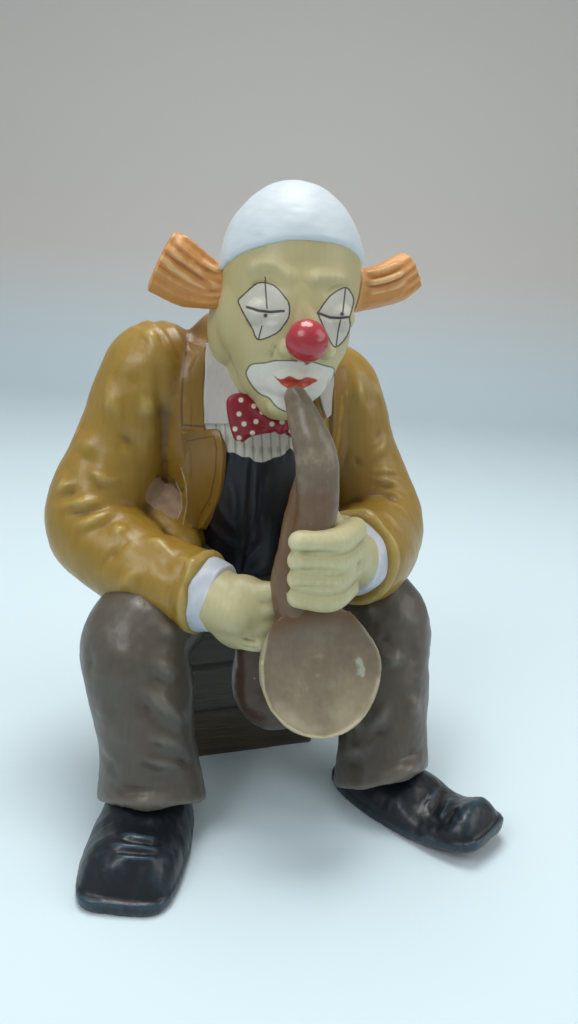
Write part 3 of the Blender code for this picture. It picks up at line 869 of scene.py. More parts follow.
def make_jacket():
    shapes = [
        limb("torso", TORSO, (1, 0, 0), (0.1, 0.3), swell=jacket_front, rows=110, columns=150),
        limb("right sleeve", RIGHT_ARM, RIGHT_SLEEVE_SIDE, (0.6, 0.02), rows=90, columns=60),
        limb("left sleeve", LEFT_ARM, LEFT_SLEEVE_SIDE, (0.6, 0.02), rows=90, columns=60),
        limb("web", WEB, (1, 0, 0)),
        ball("shoulder yoke", (0, 4, 200), (62, 19, 22)),
    ]
    clay = Clay(melted("jacket", shapes, CLOTH_VOXEL))
    clay.ridges(RIGHT_SLEEVE_FOLDS, 0.9, 1.45, 0.6, cloth=True)
    clay.ridges(LEFT_SLEEVE_FOLDS, 0.9, 1.3, 0.6, cloth=True)
    clay.far_ridges(BACK_FOLDS, 1.3)
    clay.smooth(2)
    hollow = np.linalg.norm((clay.points - (-47, -22, 136)) / (15, 14, 20), axis=1)
    clay.smooth(50, hump(hollow))
    for arm, radius in SLEEVE_RIMS:
        wrist, outward = wrist_of(arm)
        from_wrist = (clay.points - wrist) @ outward
        off_axis = np.linalg.norm(clay.points - wrist - from_wrist[:, None] * outward, axis=1)
        rim = hump((from_wrist + 2.5) / 1.6) * (off_axis < radius + 8) * (off_axis > radius - 8)
        seam = hump((from_wrist + 6.5) / 0.8) * (off_axis < radius + 8)
        clay.push(0.9 * rim)
        clay.push(-0.45 * seam)
    clay.settle()
    clay.wander(0.25, 22, 3)
    clay.mark_relief(14)
    clay.mark_relief(90, "broad")
    clay.mark_plane()
    clay.mark_area("bare", BARE_PATCH)
    across, down = pictured(clay.points).T
    # Painted shade: the chest in the head's shadow, and the collar in the shadow under the right tuft
    chest_shadow = hump((across - 186) / 20) * ease(down, 300, 345) * (1 - ease(down, 470, 500))
    shadow_under_hair = hump((across - 196) / 10) * hump((down - 324) / 15)
    clay.mark("shaded", (chest_shadow + 1.2 * shadow_under_hair) * (clay.facing() > 0))
    return clay


def make_lapels(jacket, chest, paint):
    collar = patch("collar", [(186.5, 340), (183, 358), (181, 376), (179.5, 402), (181, 434)],
                   [(206, 347), (205.5, 360), (204, 378), (203.5, 403), (205, 434)], [jacket, chest],
                   (-0.8, 1.6), 3.0)
    lapel = patch("lapel", [(182.4, 433), (183.5, 461), (186.5, 495), (189, 520), (193, 532)],
                  [(219.5, 427.5), (222.6, 449), (221.4, 472), (216.8, 500), (201, 528)], [jacket, chest],
                  (1.2, 2.2), 3.0)
    far = patch("far front", [(334, 366), (334, 389), (334, 411), (333, 440), (330, 480)],
                [(349, 366), (350, 389), (351, 411), (352, 440), (350, 480)], [jacket, chest], (2.0, -0.6),
                3.0)
    for name, mesh in (("lapel_collar", collar), ("lapel_right", lapel), ("front_left", far)):
        clay = Clay(mesh)
        clay.mark_relief(6)
        clay.mark_relief(6, "broad")
        clay.mark_plane()
        # The lapel pieces are darkened all over as painted shade
        clay.mark("shaded", np.full(len(clay.points), 0.8))
        clay.mark("bare", np.full(len(clay.points), -9.0))
        piece(name, mesh, paint)


# Shirt, vest and bow tie

CHEST_INSET = 3.5
PLEAT = 8.5
SHIRT_AREA = [(200, 330), (300, 330), (300, 446), (290, 448), (283, 455), (275, 457), (266, 461), (257, 462),
              (250, 458), (240, 456), (234, 452), (228, 453), (223, 450), (214, 452), (205, 450)]
TIE_DEPTH = -53.0
PIXELS_PER_PART = 2.03
# Rows down the bow: picture point, half height in pixels, half depth in parts
BOW = [(274, 425, 8, 3.4), (263, 421, 14, 4.6), (251, 418, 20, 4.4), (240, 418, 24, 3.8), (232, 420, 21, 3.0)]
FAR_BOW = [(287, 427, 8, 3.4), (295, 427, 12, 4.4), (304, 426, 15, 4.2), (312, 426, 17, 3.6),
           (318, 427, 14, 3.0)]


def make_chest():
    neck = [(2, -14, 196, 26, 24), (2, -20, 214, 25, 23), (3, -24, 232, 21, 20), (4, -28, 246, 20, 20)]
    vest = [(-2, -14, 112, 24, 28), (-2, -15, 140, 31, 29), (-1, -17, 168, 34, 28), (0, -17, 196, 32, 27)]
    inner = [(x, y, z, wide - CHEST_INSET, deep - CHEST_INSET) for x, y, z, wide, deep in TORSO[:-1]]
    shapes = [limb("neck", neck, (1, 0, 0)), limb("vest", vest, (1, 0, 0), (0.5, 0.2)),
              limb("inner", inner, (1, 0, 0), (0.1, 0.1)),
              ball("shirt front", (-1, -27, 186), (27, 22, 20))]
    clay = Clay(melted("chest", shapes, CLOTH_VOXEL))
    across, down = pictured(clay.points).T
    pleated = ease(down, 420, 426) * (1 - ease(down, 458, 466)) * ease(across, 216, 224)
    pleated *= (1 - ease(across, 300, 306)) * (clay.facing() > 0.1)
    clay.push(0.25 * pleated * np.sin(across * 2 * math.pi / PLEAT))
    clay.ridge(clay.seen([(252, 462), (250, 500), (246, 540), (240, 572)]), 1.0, -1.1, 0.05)
    clay.ridge(clay.seen([(256, 462), (254, 500), (250, 540), (244, 570)]), 1.4, 0.7, 0.05)
    clay.ridges([
        (2.2, 0.9, [(228, 470), (234, 500), (232, 530)]),
        (2.2, 0.9, [(266, 470), (262, 500), (260, 530)]),
        (2.2, 0.9, [(208, 520), (222, 536), (238, 548)]),
        (2.2, 0.9, [(216, 500), (228, 520), (240, 530)]),
        (2.2, 0.9, [(262, 540), (252, 552), (244, 560)]),
    ])
    clay.mark_relief(14)
    clay.mark_relief(60, "broad")
    clay.mark_plane()
    clay.mark_area("shirt", SHIRT_AREA)
    return clay


def make_shirt_and_tie(chest, jacket, shirt_finish, tie_finish):
    wing = patch("shirt wing", [(205, 343), (205, 380), (204, 424)], [(214, 341), (240, 393), (231, 424)],
                 [chest], (2.4, 2.0), 2.2, rows=36)
    far = patch("far wing", [(318, 372), (320, 396), (327, 419)], [(334, 370), (334.5, 392), (334, 413)],
                [chest, jacket], (2.4, 2.4), 2.0, rows=20)
    for name, mesh in (("shirt_wing_right", wing), ("shirt_wing_left", far)):
        Clay(mesh).mark_relief(6)
        piece(name, mesh, shirt_finish)
    knot = at_depth(280.5, 425, TIE_DEPTH - 2)
    shapes = [ball("knot", knot, (3.2, 4.4, 4.6))]
    for wing_marks in (BOW, FAR_BOW):
        stations = [tuple(at_depth(u, v, TIE_DEPTH)) + (half / PIXELS_PER_PART, deep) for u, v, half,
                    deep in wing_marks]
        shapes.append(limb("bow", stations, (0, 0, 1), (0.3, 0.25), rows=70, columns=60))
    clay = Clay(melted("tie", shapes, 0.5, 5))
    clay.ridges([
        (1.2, 0.9, [(268, 420), (258, 412), (248, 402)]),
        (1.2, 0.9, [(268, 426), (256, 424), (240, 418)]),
        (1.2, 0.9, [(268, 431), (258, 432), (244, 434)]),
    ])
    clay.mark_relief(10).mark_plane()
    piece("bow_tie", clay.mesh, tie_finish)


def vest_paint():
    """A dark vest, and the pleated shirt front in its marked area."""
    paint, colour, rough, lines, cloud, low = plain_paint(
        "vest and shirt paint", "0A0D16", "1B2233", "040508", rough=0.40, strength=0.15)
    shirt_share = (paint.mark("shirt") + paint.noise(300, 2) * 1.6).step(-0.5, 0.5)
    white = paint.shade(lines + cloud, paint_colour("C6C0B2"), 0.06)
    pleats = paint.mix(low, white, paint_colour("A59F92"))
    plane = paint.plane()
    # Painted shade in the creases between the shirt's pleats
    creases = None
    for across in range(216, 304, 9):
        crease = paint.stroke(plane, [(across, 424), (across + 2, 464)], 1.0, 1.0)
        creases = crease if creases is None else creases.most(crease)
    pleats = paint.mix(creases * 0.6, pleats, paint_colour("716B60"))
    return paint.finish(paint.mix(shirt_share, colour, pleats), rough, lines * 0.3 + cloud * 0.2)


TIE_SPOTS = [(241, 400), (254, 406), (262, 412), (239, 414), (244, 424), (256, 421.5), (235, 429), (239, 438),
             (252.5, 433), (272, 424), (282, 422), (291, 431)]


def tie_paint():
    """Red with cream spots."""
    paint = Paint("red spotted tie paint")
    cloud = paint.noise(120, 2)
    red = paint.shade(cloud, paint_colour("8C1826"), 0.12)
    # Darker red in the bow's hollows, as painted shade
    red = paint.mix((-paint.mark("relief") * 2).step(0.0, 0.8), red, paint_colour("430812"))
    spots = paint.dots(paint.plane(), TIE_SPOTS, 2.5)
    colour = paint.mix(spots, red, paint_colour("DCD3C2"))
    return paint.finish(colour, 0.42 + cloud * 0.03, cloud, depth=0.0001)


# Cuffs and gloves

def make_cuffs(paint):
    """Shirt cuffs: past the sleeve's end by each step, and narrower by each taper."""
    for side, arm, radius in CUFFS:
        wrist, outward = wrist_of(arm)
        stations = [tuple(wrist + step * outward) + (radius - taper, radius - taper)
                    for step, taper in ((-8, 0), (-1, 0), (3, 0.6), (7.5, 1.8))]

        def wavy(t, angle):
            return 0.35 * np.sin(3 * angle + 1) + 0.25 * np.sin(7 * angle + 5 * t)

        clay = Clay(limb(side + " cuff", stations, (0, 0, 1), (0, 0.12), rows=60, columns=120, swell=wavy))
        clay.mark_relief(12)
        piece("cuff_" + side, clay.mesh, paint)


def fingers(name, palm, palm_radii, turn, knuckles, tips, bulge, radius):
    """A palm and four fingers, spread evenly from the first knuckle and tip to the last."""
    yield ball(name + " palm", palm, palm_radii, turn)
    for k in range(4):
        share = k / 3
        start = np.array(knuckles[0]) * (1 - share) + np.array(knuckles[1]) * share
        end = np.array(tips[0]) * (1 - share) + np.array(tips[1]) * share
        middle = (start + end) / 2 + np.array(bulge)
        thick = radius * (1 - 0.12 * abs(share - 0.4))
        stations = [(*start, thick * 0.96, thick), (*middle, thick, thick),
                    (*end, thick * 0.85, thick * 0.85)]
        yield limb(f"{name} finger {k + 1}", stations, (0, 0, 1), rows=30, columns=24)


def make_gloves(paint):
    left = list(fingers("left", (19, -91, 136), (17, 13, 18), (0, 0, 10), [(23, -99, 150), (23, -97, 121)],
                        [(-8, -112, 149.5), (-6, -110, 123.5)], (0, -8, 0), 6.3))
    wrist = [(37, -71, 126, 16.5, 16.5), (31, -79, 129, 15, 15), (22, -87, 134, 13, 16)]
    left.append(limb("left wrist", wrist, (0, 0, 1)))
    thumb = [(*at_depth(333, 532, -98), 7, 8), (*at_depth(330, 516, -98), 4.5, 6)]
    left.append(limb("left thumb root", thumb, (1, 0, 0)))
    left.append(ball("inside of the left fist", (7, -105, 136), (16, 12, 18), (0, 0, 12)))
    clay = Clay(melted("left glove", left, 0.74, 18))
    for level in (551, 569, 586):
        clay.ridge(clay.seen([(284, level), (300, level + 1), (322, level + 1), (344, level + 2)]), 1.1, -0.8,
                   0.3)
    for level in (543, 560, 577, 593):
        clay.ridge(clay.seen([(292, level), (312, level), (334, level)]), 2.4, 0.35, 0.3)
    clay.smooth(2)
    clay.mark_relief(16)
    piece("glove_left", clay.mesh, paint)
    right = list(fingers("right", (-23, -85, 107), (17, 13, 18), (0, 0, -30),
                         [(-20, -90, 119), (-24, -91, 96)],
                         [(-6, -93, 121), (-10, -95, 97)], (0, -3, 0), 5.0))
    wrist = [(-38, -69, 111, 15.5, 15.5), (-32, -77, 110, 15, 15), (-24, -84, 108, 13, 16)]
    right.append(limb("right wrist", wrist, (0, 0, 1)))
    right.append(ball("inside of the right hand", (-13, -89, 108), (12, 9, 15), (0, 0, -20)))
    clay = Clay(melted("right glove", right, 0.72, 24))
    for marks in ([(240, 638), (250, 641), (260, 642)], [(239, 646), (250, 648), (260, 649)]):
        clay.ridge(clay.seen(marks), 1.1, -0.7)
    clay.mark_relief(16)
    piece("glove_right", clay.mesh, paint)


# Head, cap and hair

SKULL = (5, -40, 256)
SKULL_RADII = (32.6, 37, 40.8)
CAP_RADII = (34.2, 38.6, 42.1)
CAP_EDGE = 2.4
CAP_ROLL = 1.5
NOSE = (-3.4, -90, 230.7)
NOSE_RADIUS = 9.0
HEAD_TURN = -10.0
HEAD_NOD = 10.0
RIGHT_PATCH = [(239, 299), (252, 287), (258.5, 283), (267, 283), (276, 287), (284, 296), (289, 304),
               (289, 316), (284, 325),
               (276, 333.5), (258.5, 339.5), (252, 328), (245, 316), (240, 306)]
LEFT_PATCH = [(318, 313), (324, 303.5), (332.5, 294), (344.6, 287.6), (350.6, 292), (353.7, 301),
              (349.7, 318), (350.3, 325),
              (346.3, 337), (336, 347), (329, 339), (319, 316)]
MOUTH_PATCH = [(246.5, 370.5), (251.6, 364.5), (265.4, 362.8), (275.7, 360.7), (293, 360.7), (303, 361),
               (306.7, 364.5), (312, 362),
               (324, 365.4), (334, 369), (332, 380), (326, 392), (314, 404), (303, 411), (294, 412),
               (284, 411), (275.7, 406), (269, 398),
               (260, 394), (251.6, 385), (246.8, 376.5)]
LIPS = [(273, 375), (281, 379), (289.5, 376), (299, 379.6), (307, 377), (318, 380), (312, 384), (306.7, 387),
        (294.7, 391), (285, 387),
        (279, 382)]

# Level down the picture, left side, right side, y and half depth in parts
HEAD_OUTLINE = [(262, 229, 361, -40, 32), (280, 229, 360, -44, 33), (301, 231.5, 355, -48, 33),
                (316, 231, 351, -50, 33),
                (333, 230, 349, -51, 32.5), (351, 229.5, 343, -53, 31), (370, 235, 335, -56, 28),
                (385, 242, 326, -59, 23), (399, 256, 314, -62, 17)]


def make_head():
    """The head, with its sides set by where its outline stands in the picture at each level."""
    stations = []
    for down, left, right, y, deep in HEAD_OUTLINE:
        middle = at_depth((left + right) / 2, down, y)
        scale = FOCAL_PIXELS / ((middle - EYE) @ FORWARD)
        stations.append(tuple(middle) + ((right - left) / 2 / scale, deep))
    across = (math.cos(math.radians(HEAD_TURN)), math.sin(math.radians(HEAD_TURN)), 0)
    skull = ball("skull", SKULL, SKULL_RADII, (HEAD_NOD, 0, HEAD_TURN))
    face = limb("face", stations, across, (0.2, 0.6), rows=70, columns=60)
    base = Clay(melted("head base", [skull, face], 1.4))

    def on_face(across, down, sink):
        return tuple(base.hit(across, down) + sight(across, down) * sink)

    bridge = [on_face(300, 300, 5) + (5, 5), on_face(304, 322, 5) + (7, 7), on_face(306, 342, 3) + (9, 8)]

    shapes = [
        base.mesh.copy(),
        ball("right lid", on_face(265, 313, 6.2), (9.5, 7.5, 7)),
        ball("left lid", on_face(336, 318, 6.2), (8.5, 7.5, 7)),
        ball("muzzle", on_face(295, 380, 8.5), (15, 11, 11)),
        ball("chin", on_face(289, 404, 5.5), (11, 8, 7)),
        limb("nose", bridge, (1, 0, 0)),
        ball("right wing of the nose", on_face(288, 347, 2.5), (5, 5, 4.5)),
        ball("left wing of the nose", on_face(326, 349, 2.5), (4.5, 5, 4.5)),
        ball("nape on the right", (-17, -27, 237), (13, 15, 25), (0, 12, 0)),
        ball("back of the jaw", on_face(235, 316, 11), (8.5, 12, 17), (4, 0, 0)),
        ball("nape on the left", (27, -30, 237), (12, 15, 25), (0, -12, 0)),
        limb("neck", [(2, -26, 206, 23, 22), (2, -30, 224, 24, 22), (3, -34, 240, 26, 24)], (1, 0, 0)),
    ]
    clay = Clay(melted("head", shapes, 0.66, 9))
    across, down = pictured(clay.points).T
    clay.smooth(160, hump((across - 228) / 10) * hump((down - 330) / 34) * (clay.normals[:, 0] < 0.2))
    clay.smooth(200, hump(np.linalg.norm((clay.points - (-26, -38, 238)) / (14, 22, 22), axis=1)))
    clay.smooth(120, hump(np.linalg.norm((clay.points - (36, -36, 238)) / (12, 20, 20), axis=1)))
    clay.settle()
    clay.ridges([
        (3.2, 1.6, [(243, 274), (252, 267), (262, 264), (277, 266), (290, 276), (299, 285)]),
        (3.2, 1.6, [(306, 285), (314, 279), (322, 277), (340, 277), (355, 283)]),
        (1.8, -0.7, [(246, 294), (254, 284), (266, 281), (278, 286), (287, 296)]),
        (1.8, -0.6, [(322, 298), (332, 289), (344, 284), (352, 290)]),
        (0.9, -1.1, [(247, 307), (258, 311), (270, 313), (284, 311)]),
        (0.9, -1.1, [(318, 313), (330, 318), (340, 318), (349, 316)]),
        (1.4, -0.9, [(276, 342), (273, 350), (270, 360)]),
        (1.4, 0.8, [(262, 322), (272, 326), (283, 323)]),
        (2.0, 1.5, [(273, 376), (281, 377.5), (289.5, 375), (299, 378), (307, 376), (318, 380)]),
        (2.2, 1.5, [(282, 386), (294, 389.5), (308, 385.5)]),
        (0.9, -1.3, [(273, 378), (284, 382), (297, 383), (308, 382), (318, 381)]),
        (2.4, -1.0, [(278, 396), (292, 399), (306, 396)]),
        (1.4, -0.8, [(262, 366), (256, 376), (256, 386)]),
    ])
    clay.settle()
    clay.mark_relief(18).mark_plane()
    clay.mark_area("patch", RIGHT_PATCH)
    clay.mark_area("patch_far", LEFT_PATCH)
    clay.mark_area("mask", MOUTH_PATCH)
    clay.mark_area("lips", LIPS)
    return clay


def head_paint():
    """Skin with white eye patches and mouth area, red lips and dark brush lines."""
    paint, colour, rough, lines, cloud, _ = plain_paint(
        "painted face", "B9AD7E", "D6CEA4", "7A6F46", rough=0.42, strength=0.035)
    plane = paint.plane()
    edge = paint.noise(700, 2) * 0.35
    right, left, mask, lips = (paint.mark(name) + edge for name in ("patch", "patch_far", "mask", "lips"))
    white = paint.shade(lines + cloud, paint_colour("C6C1B4"), 0.06)
    colour = paint.mix(right.most(left).step(-0.3, 0.5), colour, white)
    colour = paint.mix(mask.step(-0.3, 0.6), colour, paint.shade(cloud, paint_colour("D2CFC3"), 0.06))
    colour = paint.mix(lips.step(-0.3, 0.6), colour, paint.shade(cloud, paint_colour("B4402A"), 0.10))
    ink = right.most(left).math("ABSOLUTE").step(1.2, 0.35)
    outline = mask.math("ABSOLUTE").step(1.15, 0.35)
    ink = ink.most(outline * 0.85)
    for width, marks in (
            (2.4, [(247, 307), (258, 310.5), (270, 312), (283.5, 311)]),
            (1.2, [(265, 281), (266, 295), (267, 308)]),
            (1.2, [(262, 326), (260, 333), (258.5, 339.5)]),
            (2.4, [(318, 313), (330, 317.5), (340, 318), (349, 317)]),
            (1.2, [(345.4, 289), (344, 302), (342.5, 314.6)]),
            (1.2, [(340.5, 320), (338, 332), (336, 347)]),
            (0.9, [(265, 277), (266, 283)])):
        ink = ink.most(paint.stroke(plane, marks, width))
    ink = ink.most(paint.dots(plane, [(265.5, 315.5), (342, 314)], 2.0))
    ink = ink.most(paint.dots(plane, [(296, 361), (306, 364)], 1.3) * 0.7)
    near = right.most(left).most(mask).step(-28, -22)
    colour = paint.mix(ink * near * 0.9, colour, paint_colour("1C1B14"))
    rough = rough + right.most(left).step(-0.3, 0.5) * 0.05
    return paint.finish(colour, rough, lines * 0.25 + cloud * 0.2, depth=0.00012)


CAP_RIM = [(226, 261), (234, 256), (252, 247), (272, 241), (296, 239.5), (320, 240), (340, 243), (355, 249)]


def make_cap(paint):
    """A shell cut off along its rim, with a rolled edge."""
    dome = ball("cap", SKULL, CAP_RADII, (HEAD_NOD, 0, HEAD_TURN), rows=150, columns=180)
    skin = bmesh.new()
    skin.from_mesh(dome)
    rim_marks = Clay(dome).seen(CAP_RIM, 6)
    centre = rim_marks.mean(axis=0)
    flat = np.linalg.svd(rim_marks - centre)[2][2]
    below = flat * -np.sign(flat[2])
    for above in (CAP_EDGE, 1.9, 1.5, 1.1, 0.8, 0.5, 0.3, 0.1):
        whole = skin.verts[:] + skin.edges[:] + skin.faces[:]
        bmesh.ops.bisect_plane(skin, geom=whole, plane_co=centre - below * above, plane_no=below)
    whole = skin.verts[:] + skin.edges[:] + skin.faces[:]
    cut = bmesh.ops.bisect_plane(skin, geom=whole, plane_co=centre, plane_no=below, clear_outer=True,
                                 dist=0.001)
    rim = [e for e in cut["geom_cut"] if isinstance(e, bmesh.types.BMEdge)]
    filled = bmesh.ops.holes_fill(skin, edges=rim, sides=0)["faces"]
    bmesh.ops.recalc_face_normals(skin, faces=skin.faces)
    bmesh.ops.triangulate(skin, faces=filled)
    skin.to_mesh(dome)
    skin.free()
    clay = Clay(dome)
    above_rim = (clay.points - centre) @ -below
    roll = 1 - np.sqrt(1 - np.square(1 - np.clip(above_rim / CAP_EDGE, 0, 1)))
    clay.points -= unit(clay.points - np.array(SKULL, float)) * (CAP_ROLL * roll)[:, None]
    clay.settle().wander(0.22, 20, 8).settle()
    clay.ridge(clay.seen([(240, 249), (262, 240), (284, 236), (307, 234.5), (327, 236), (346, 240.6)]), 1.4,
               0.5)
    clay.mark("relief", np.zeros(len(clay.points)))
    piece("cap", clay.mesh, paint)


TUFT_BODY = 0.88
TUFT_THICKNESS = 7.0


def make_tuft(name, top, bottom, depths, ridges, paint, seed):
    """A paddle of stiff hair from root to cut end, with combed ridges."""
    def surface(along, around):
        t = np.clip(along / TUFT_BODY, 0, 1)
        high, low = curve(top, t), curve(bottom, t)
        depth = depths[0] + (depths[1] - depths[0]) * t
        upper, lower = at_depth(high[:, 0], high[:, 1], depth), at_depth(low[:, 0], low[:, 1], depth)
        closing = np.clip((along - TUFT_BODY) / (1 - TUFT_BODY), 0, 1)
        scale = np.maximum(np.cos(closing * math.pi / 2), 0) ** 0.7
        angle = around * 2 * math.pi
        flat = np.sign(np.cos(angle)) * np.abs(np.cos(angle)) ** 0.7
        centre, half = (upper + lower) / 2, (upper - lower) / 2
        comb = 0.45 * np.sin(flat * 17 + 2 * np.sin(3 * t)) * np.clip(t * 3, 0, 1) * (closing < 0.9)
        deep = TUFT_THICKNESS * (0.75 + 0.35 * t) * np.sin(angle)
        deep = (deep + np.sign(np.sin(angle)) * comb * np.abs(np.sin(angle))) * scale
        near_end, end = curve(top, np.array([0.8, 1.0]))
        outward = unit(at_depth(*end, depths[1]) - at_depth(*near_end, depths[1]))
        points = centre + half * (flat * scale)[:, None] + deep[:, None] * (0.25 * np.sign(-outward[0]), 1,
                                                                            0.0)
        points += outward * (1.6 * np.sin(closing * math.pi / 2))[:, None]
        points[along < 0.001] = ((upper + lower) / 2)[along < 0.001]
        return points

    clay = Clay(rolled(name, 96, 130, surface))
    for marks in ridges:
        clay.ridge(clay.seen(marks), 1.4, 1.5, 0.2)
    clay.smooth(1).settle().wander(0.10, 9, seed)
    clay.mark_relief(10)
    piece(name, clay.mesh, paint)


def make_hair(paint):
    make_tuft("hair_right", [(236, 276), (226, 266), (217, 262), (206, 253), (191, 239), (176, 231.5)],
              [(236, 309), (222, 309), (208, 309), (194, 308), (177, 305), (148, 291)], (-36, -24),
              [[(173, 240), (184, 250), (199, 262), (213, 269), (224, 276)],
               [(165, 248), (184, 262), (197, 271), (210, 281), (221, 285)],
               [(160, 257), (173, 269), (191, 281), (202, 287), (212, 291)],
               [(180, 234), (192, 244), (206, 256), (218, 266)]], paint, 21)
    make_tuft("hair_left", [(358, 267), (364, 268), (374, 266), (384, 262), (393, 257), (401, 253)],
              [(350, 314), (356, 312), (368, 310), (384, 306), (400, 301), (414, 291)], (-37, -28),
              [[(366, 274), (384, 270), (402, 262)], [(366, 284), (386, 280), (406, 272)],
               [(364, 294), (386, 291), (408, 282)],
               [(362, 304), (384, 300), (406, 292)]], paint, 22)


# Saxophone

NECK_TUBE = [(-5, -86, 206.5, 5, 5), (-3.5, -94, 199, 7, 7), (0, -102, 184, 9, 9), (1.5, -105, 166, 9, 9),
             (0, -106, 150, 8.5, 9)]
REAR_TUBE = [(0, -99, 178, 6, 6), (-1, -97, 164, 7.5, 7.5), (-4, -98, 145, 7.5, 8), (-7, -99, 127, 7.5, 8),
             (-5, -101, 115, 8, 8),
             (0, -100, 107, 8, 7)]
BOW_TUBE = [(-11, -88, 112, 9, 9), (-12, -87, 90, 13, 13), (-11, -89, 70, 15, 16), (-6, -95, 67, 15, 15),
            (1, -101, 76, 12, 12)]
BELL_CENTRE = np.array([4.0, -119.0, 91.0])
BELL_RADIUS = 30.0
BELL_TILT = 29.0
BELL_TURN = 5.0
# Across, as a share of the rim, and height above it, from the dish's middle round the rim to the cone
BELL_PROFILE = [(0, -3.6), (0.5, -3.4), (0.8, -2.4), (0.93, -0.9), (0.985, 0.6), (1.0, -0.6), (0.97, -3),
                (0.84, -8), (0.62, -14),
                (0.42, -22), (0.3, -28), (0, -28)]
BELL_OUTLINE = [(261, 666), (263, 690), (270, 710), (285, 726), (303, 736), (324, 739), (346, 733),
                (364, 718), (376, 697), (382, 671),
                (378, 648), (365, 630), (352, 612), (339, 599), (315, 592), (292, 599), (278, 613),
                (267, 635)]


def make_saxophone(paint):
    """The bell with its dished front, its rim set by the outline in the picture, and the tubes."""
    tilt = Matrix.Rotation(math.radians(90 - BELL_TILT), 3, "X")
    spin = np.array(Matrix.Rotation(math.radians(BELL_TURN), 3, "Z") @ tilt)
    ways = sight(*np.array(BELL_OUTLINE, float).T)
    reach = ((BELL_CENTRE - EYE) @ spin[:, 2]) / (ways @ spin[:, 2])
    rim = (EYE + ways * reach[:, None] - BELL_CENTRE) @ spin
    rim = rim[np.argsort(np.arctan2(rim[:, 1], rim[:, 0]))]
    rim_angle, rim_radius = np.arctan2(rim[:, 1], rim[:, 0]), np.linalg.norm(rim[:, :2], axis=1)

    def dish(along, around):
        row = curve(BELL_PROFILE, along)
        angle = around * 2 * math.pi
        widest = sum(np.interp(angle + turn, rim_angle, rim_radius, period=2 * math.pi)
                     for turn in (-0.12, 0, 0.12)) / 3
        radius = np.abs(row[:, 0]) * widest
        radius[(along <= 0) | (along >= 1)] = 0
        upward = radius * np.sin(angle) / BELL_RADIUS
        toward_throat = ease(upward, 0.35, 0.95)
        side = radius * np.cos(angle)
        front = row[:, 1] > -5
        throat = row[:, 1] * (1 - toward_throat) + 2.0 * toward_throat * hump(side / 13)
        height = np.where(front, throat, row[:, 1])
        points = np.stack([side, upward * BELL_RADIUS, height], axis=1)
        return points @ spin.T + BELL_CENTRE

    clay = Clay(melted("bell", [rolled("dish", 130, 150, dish)], 0.68, 3))
    clay.wander(0.25, 26, 31)
    clay.mark_relief(20).mark_plane()
    clay.mark("throat", ease(clay.points[:, 2], 98, 118))
    spots = pictured(clay.points)
    # The rim is paler where its paint is worn, and paler again on the lower left as a painted highlight
    worn_rim_and_highlight = hump((inside(spots, BELL_OUTLINE) - 1.0) / 1.3) * (1 - ease(clay.points[:, 2], 100, 112))
    worn_rim_and_highlight *= 1 - 0.7 * ease(spots[:, 0], 330, 372)
    # The side of the bell turned to the camera is paler, more so towards the bottom, as painted light
    lower_light_share = 1 - ease(clay.points[:, 2], 70, 108)
    clay.mark("pale", (0.45 + 0.4 * lower_light_share) * (clay.facing() > 0) + 0.8 * worn_rim_and_highlight)
    piece("saxophone_bell", clay.mesh, paint)
    tubes = [limb("neck tube", NECK_TUBE, (1, 0, 0), rows=120, columns=48),
             limb("rear tube", REAR_TUBE, (1, 0, 0), rows=90),
             limb("bow", BOW_TUBE, (1, 0, 0), rows=90)]
    clay = Clay(melted("saxophone", tubes, 0.9))
    clay.wander(0.3, 20, 32)
    clay.mark_relief(20).mark_plane()
    clay.mark("throat", 0.62 * (1 - ease(clay.points[:, 2], 164, 182)))
    # The bow below the bell is darker: partly its own darker paint, partly painted shade behind the bell
    clay.mark("dark", 1 - ease(clay.points[:, 2], 92, 104))
    piece("saxophone_body", clay.mesh, paint)


def saxophone_paint():
    """Dull brown over brass, with pale worn places, painted highlights on the bell's rim and dish, a bell
    paler towards the bottom as painted light, a bow darkened partly by its paint and partly as painted shade,
    and chips.
    """
    paint, colour, rough, lines, cloud, _ = plain_paint(
        "aged brass paint", "716150", "918570", "43382D", rough=0.33, strength=0.08)
    plane = paint.plane()
    blotch = paint.noise(60, 3)
    speck = paint.noise(330, 3)
    # pale is partly worn paint and partly painted highlight and painted light, as marked on the bell
    pale = (paint.mark("pale") + speck * 0.12 + blotch * 0.3).step(0.2, 1.7)
    colour = paint.mix(pale, colour, paint_colour("B5AD8C"))
    red = (paint.mark("throat") * 1.3 + blotch * 0.45).step(0.2, 1.1)
    colour = paint.mix(red * 0.8, colour, paint_colour("6A4A2C"))
    # Darker bow: partly its own paint, partly painted shade
    colour = paint.mix(paint.mark("dark") * 0.8, colour, paint_colour("2E2319"))
    top = paint.stroke(plane, [(296, 376), (312, 400), (322, 430)], 24, 14)
    colour = paint.mix(top * 0.6, colour, paint_colour("5F5B49"))
    band = (paint.stroke(plane, [(302, 459), (316, 455), (330, 459)], 12, 12) + speck * 0.9).step(0.4, 1.6)
    colour = paint.mix(band * 0.5, colour, paint_colour("A49C80"))
    # A painted highlight on the bell's dish
    dish_highlight = (paint.stroke(plane, [(312, 657), (322, 656)], 3, 8) + speck * 0.6).step(0.4, 1.4)
    colour = paint.mix(dish_highlight * 0.35, colour, paint_colour("B3AC95"))
    spot = (paint.stroke(plane, [(359, 662), (362, 673)], 6, 5) + speck * 0.8).step(0.35, 0.95)
    colour = paint.mix(spot * 0.7, colour, paint_colour("AEBBA8"))
    bare = (paint.stroke(plane, [(283, 583), (287, 594), (292, 606)], 1.5, 2.5) + speck * 0.8).step(0.7, 1.2)
    colour = paint.mix(bare * 0.9, colour, paint_colour("C3BAAA"))
    chips = paint.noise(150, 3, rough=0.6).step(0.98, 1.10)
    colour = paint.mix(chips * 0.8, colour, paint_colour("A9A189"))
    return paint.finish(colour, rough + chips * 0.2, lines * 0.2 + cloud * 0.3 - chips * 0.5, depth=0.0002)


# Trousers and shoes

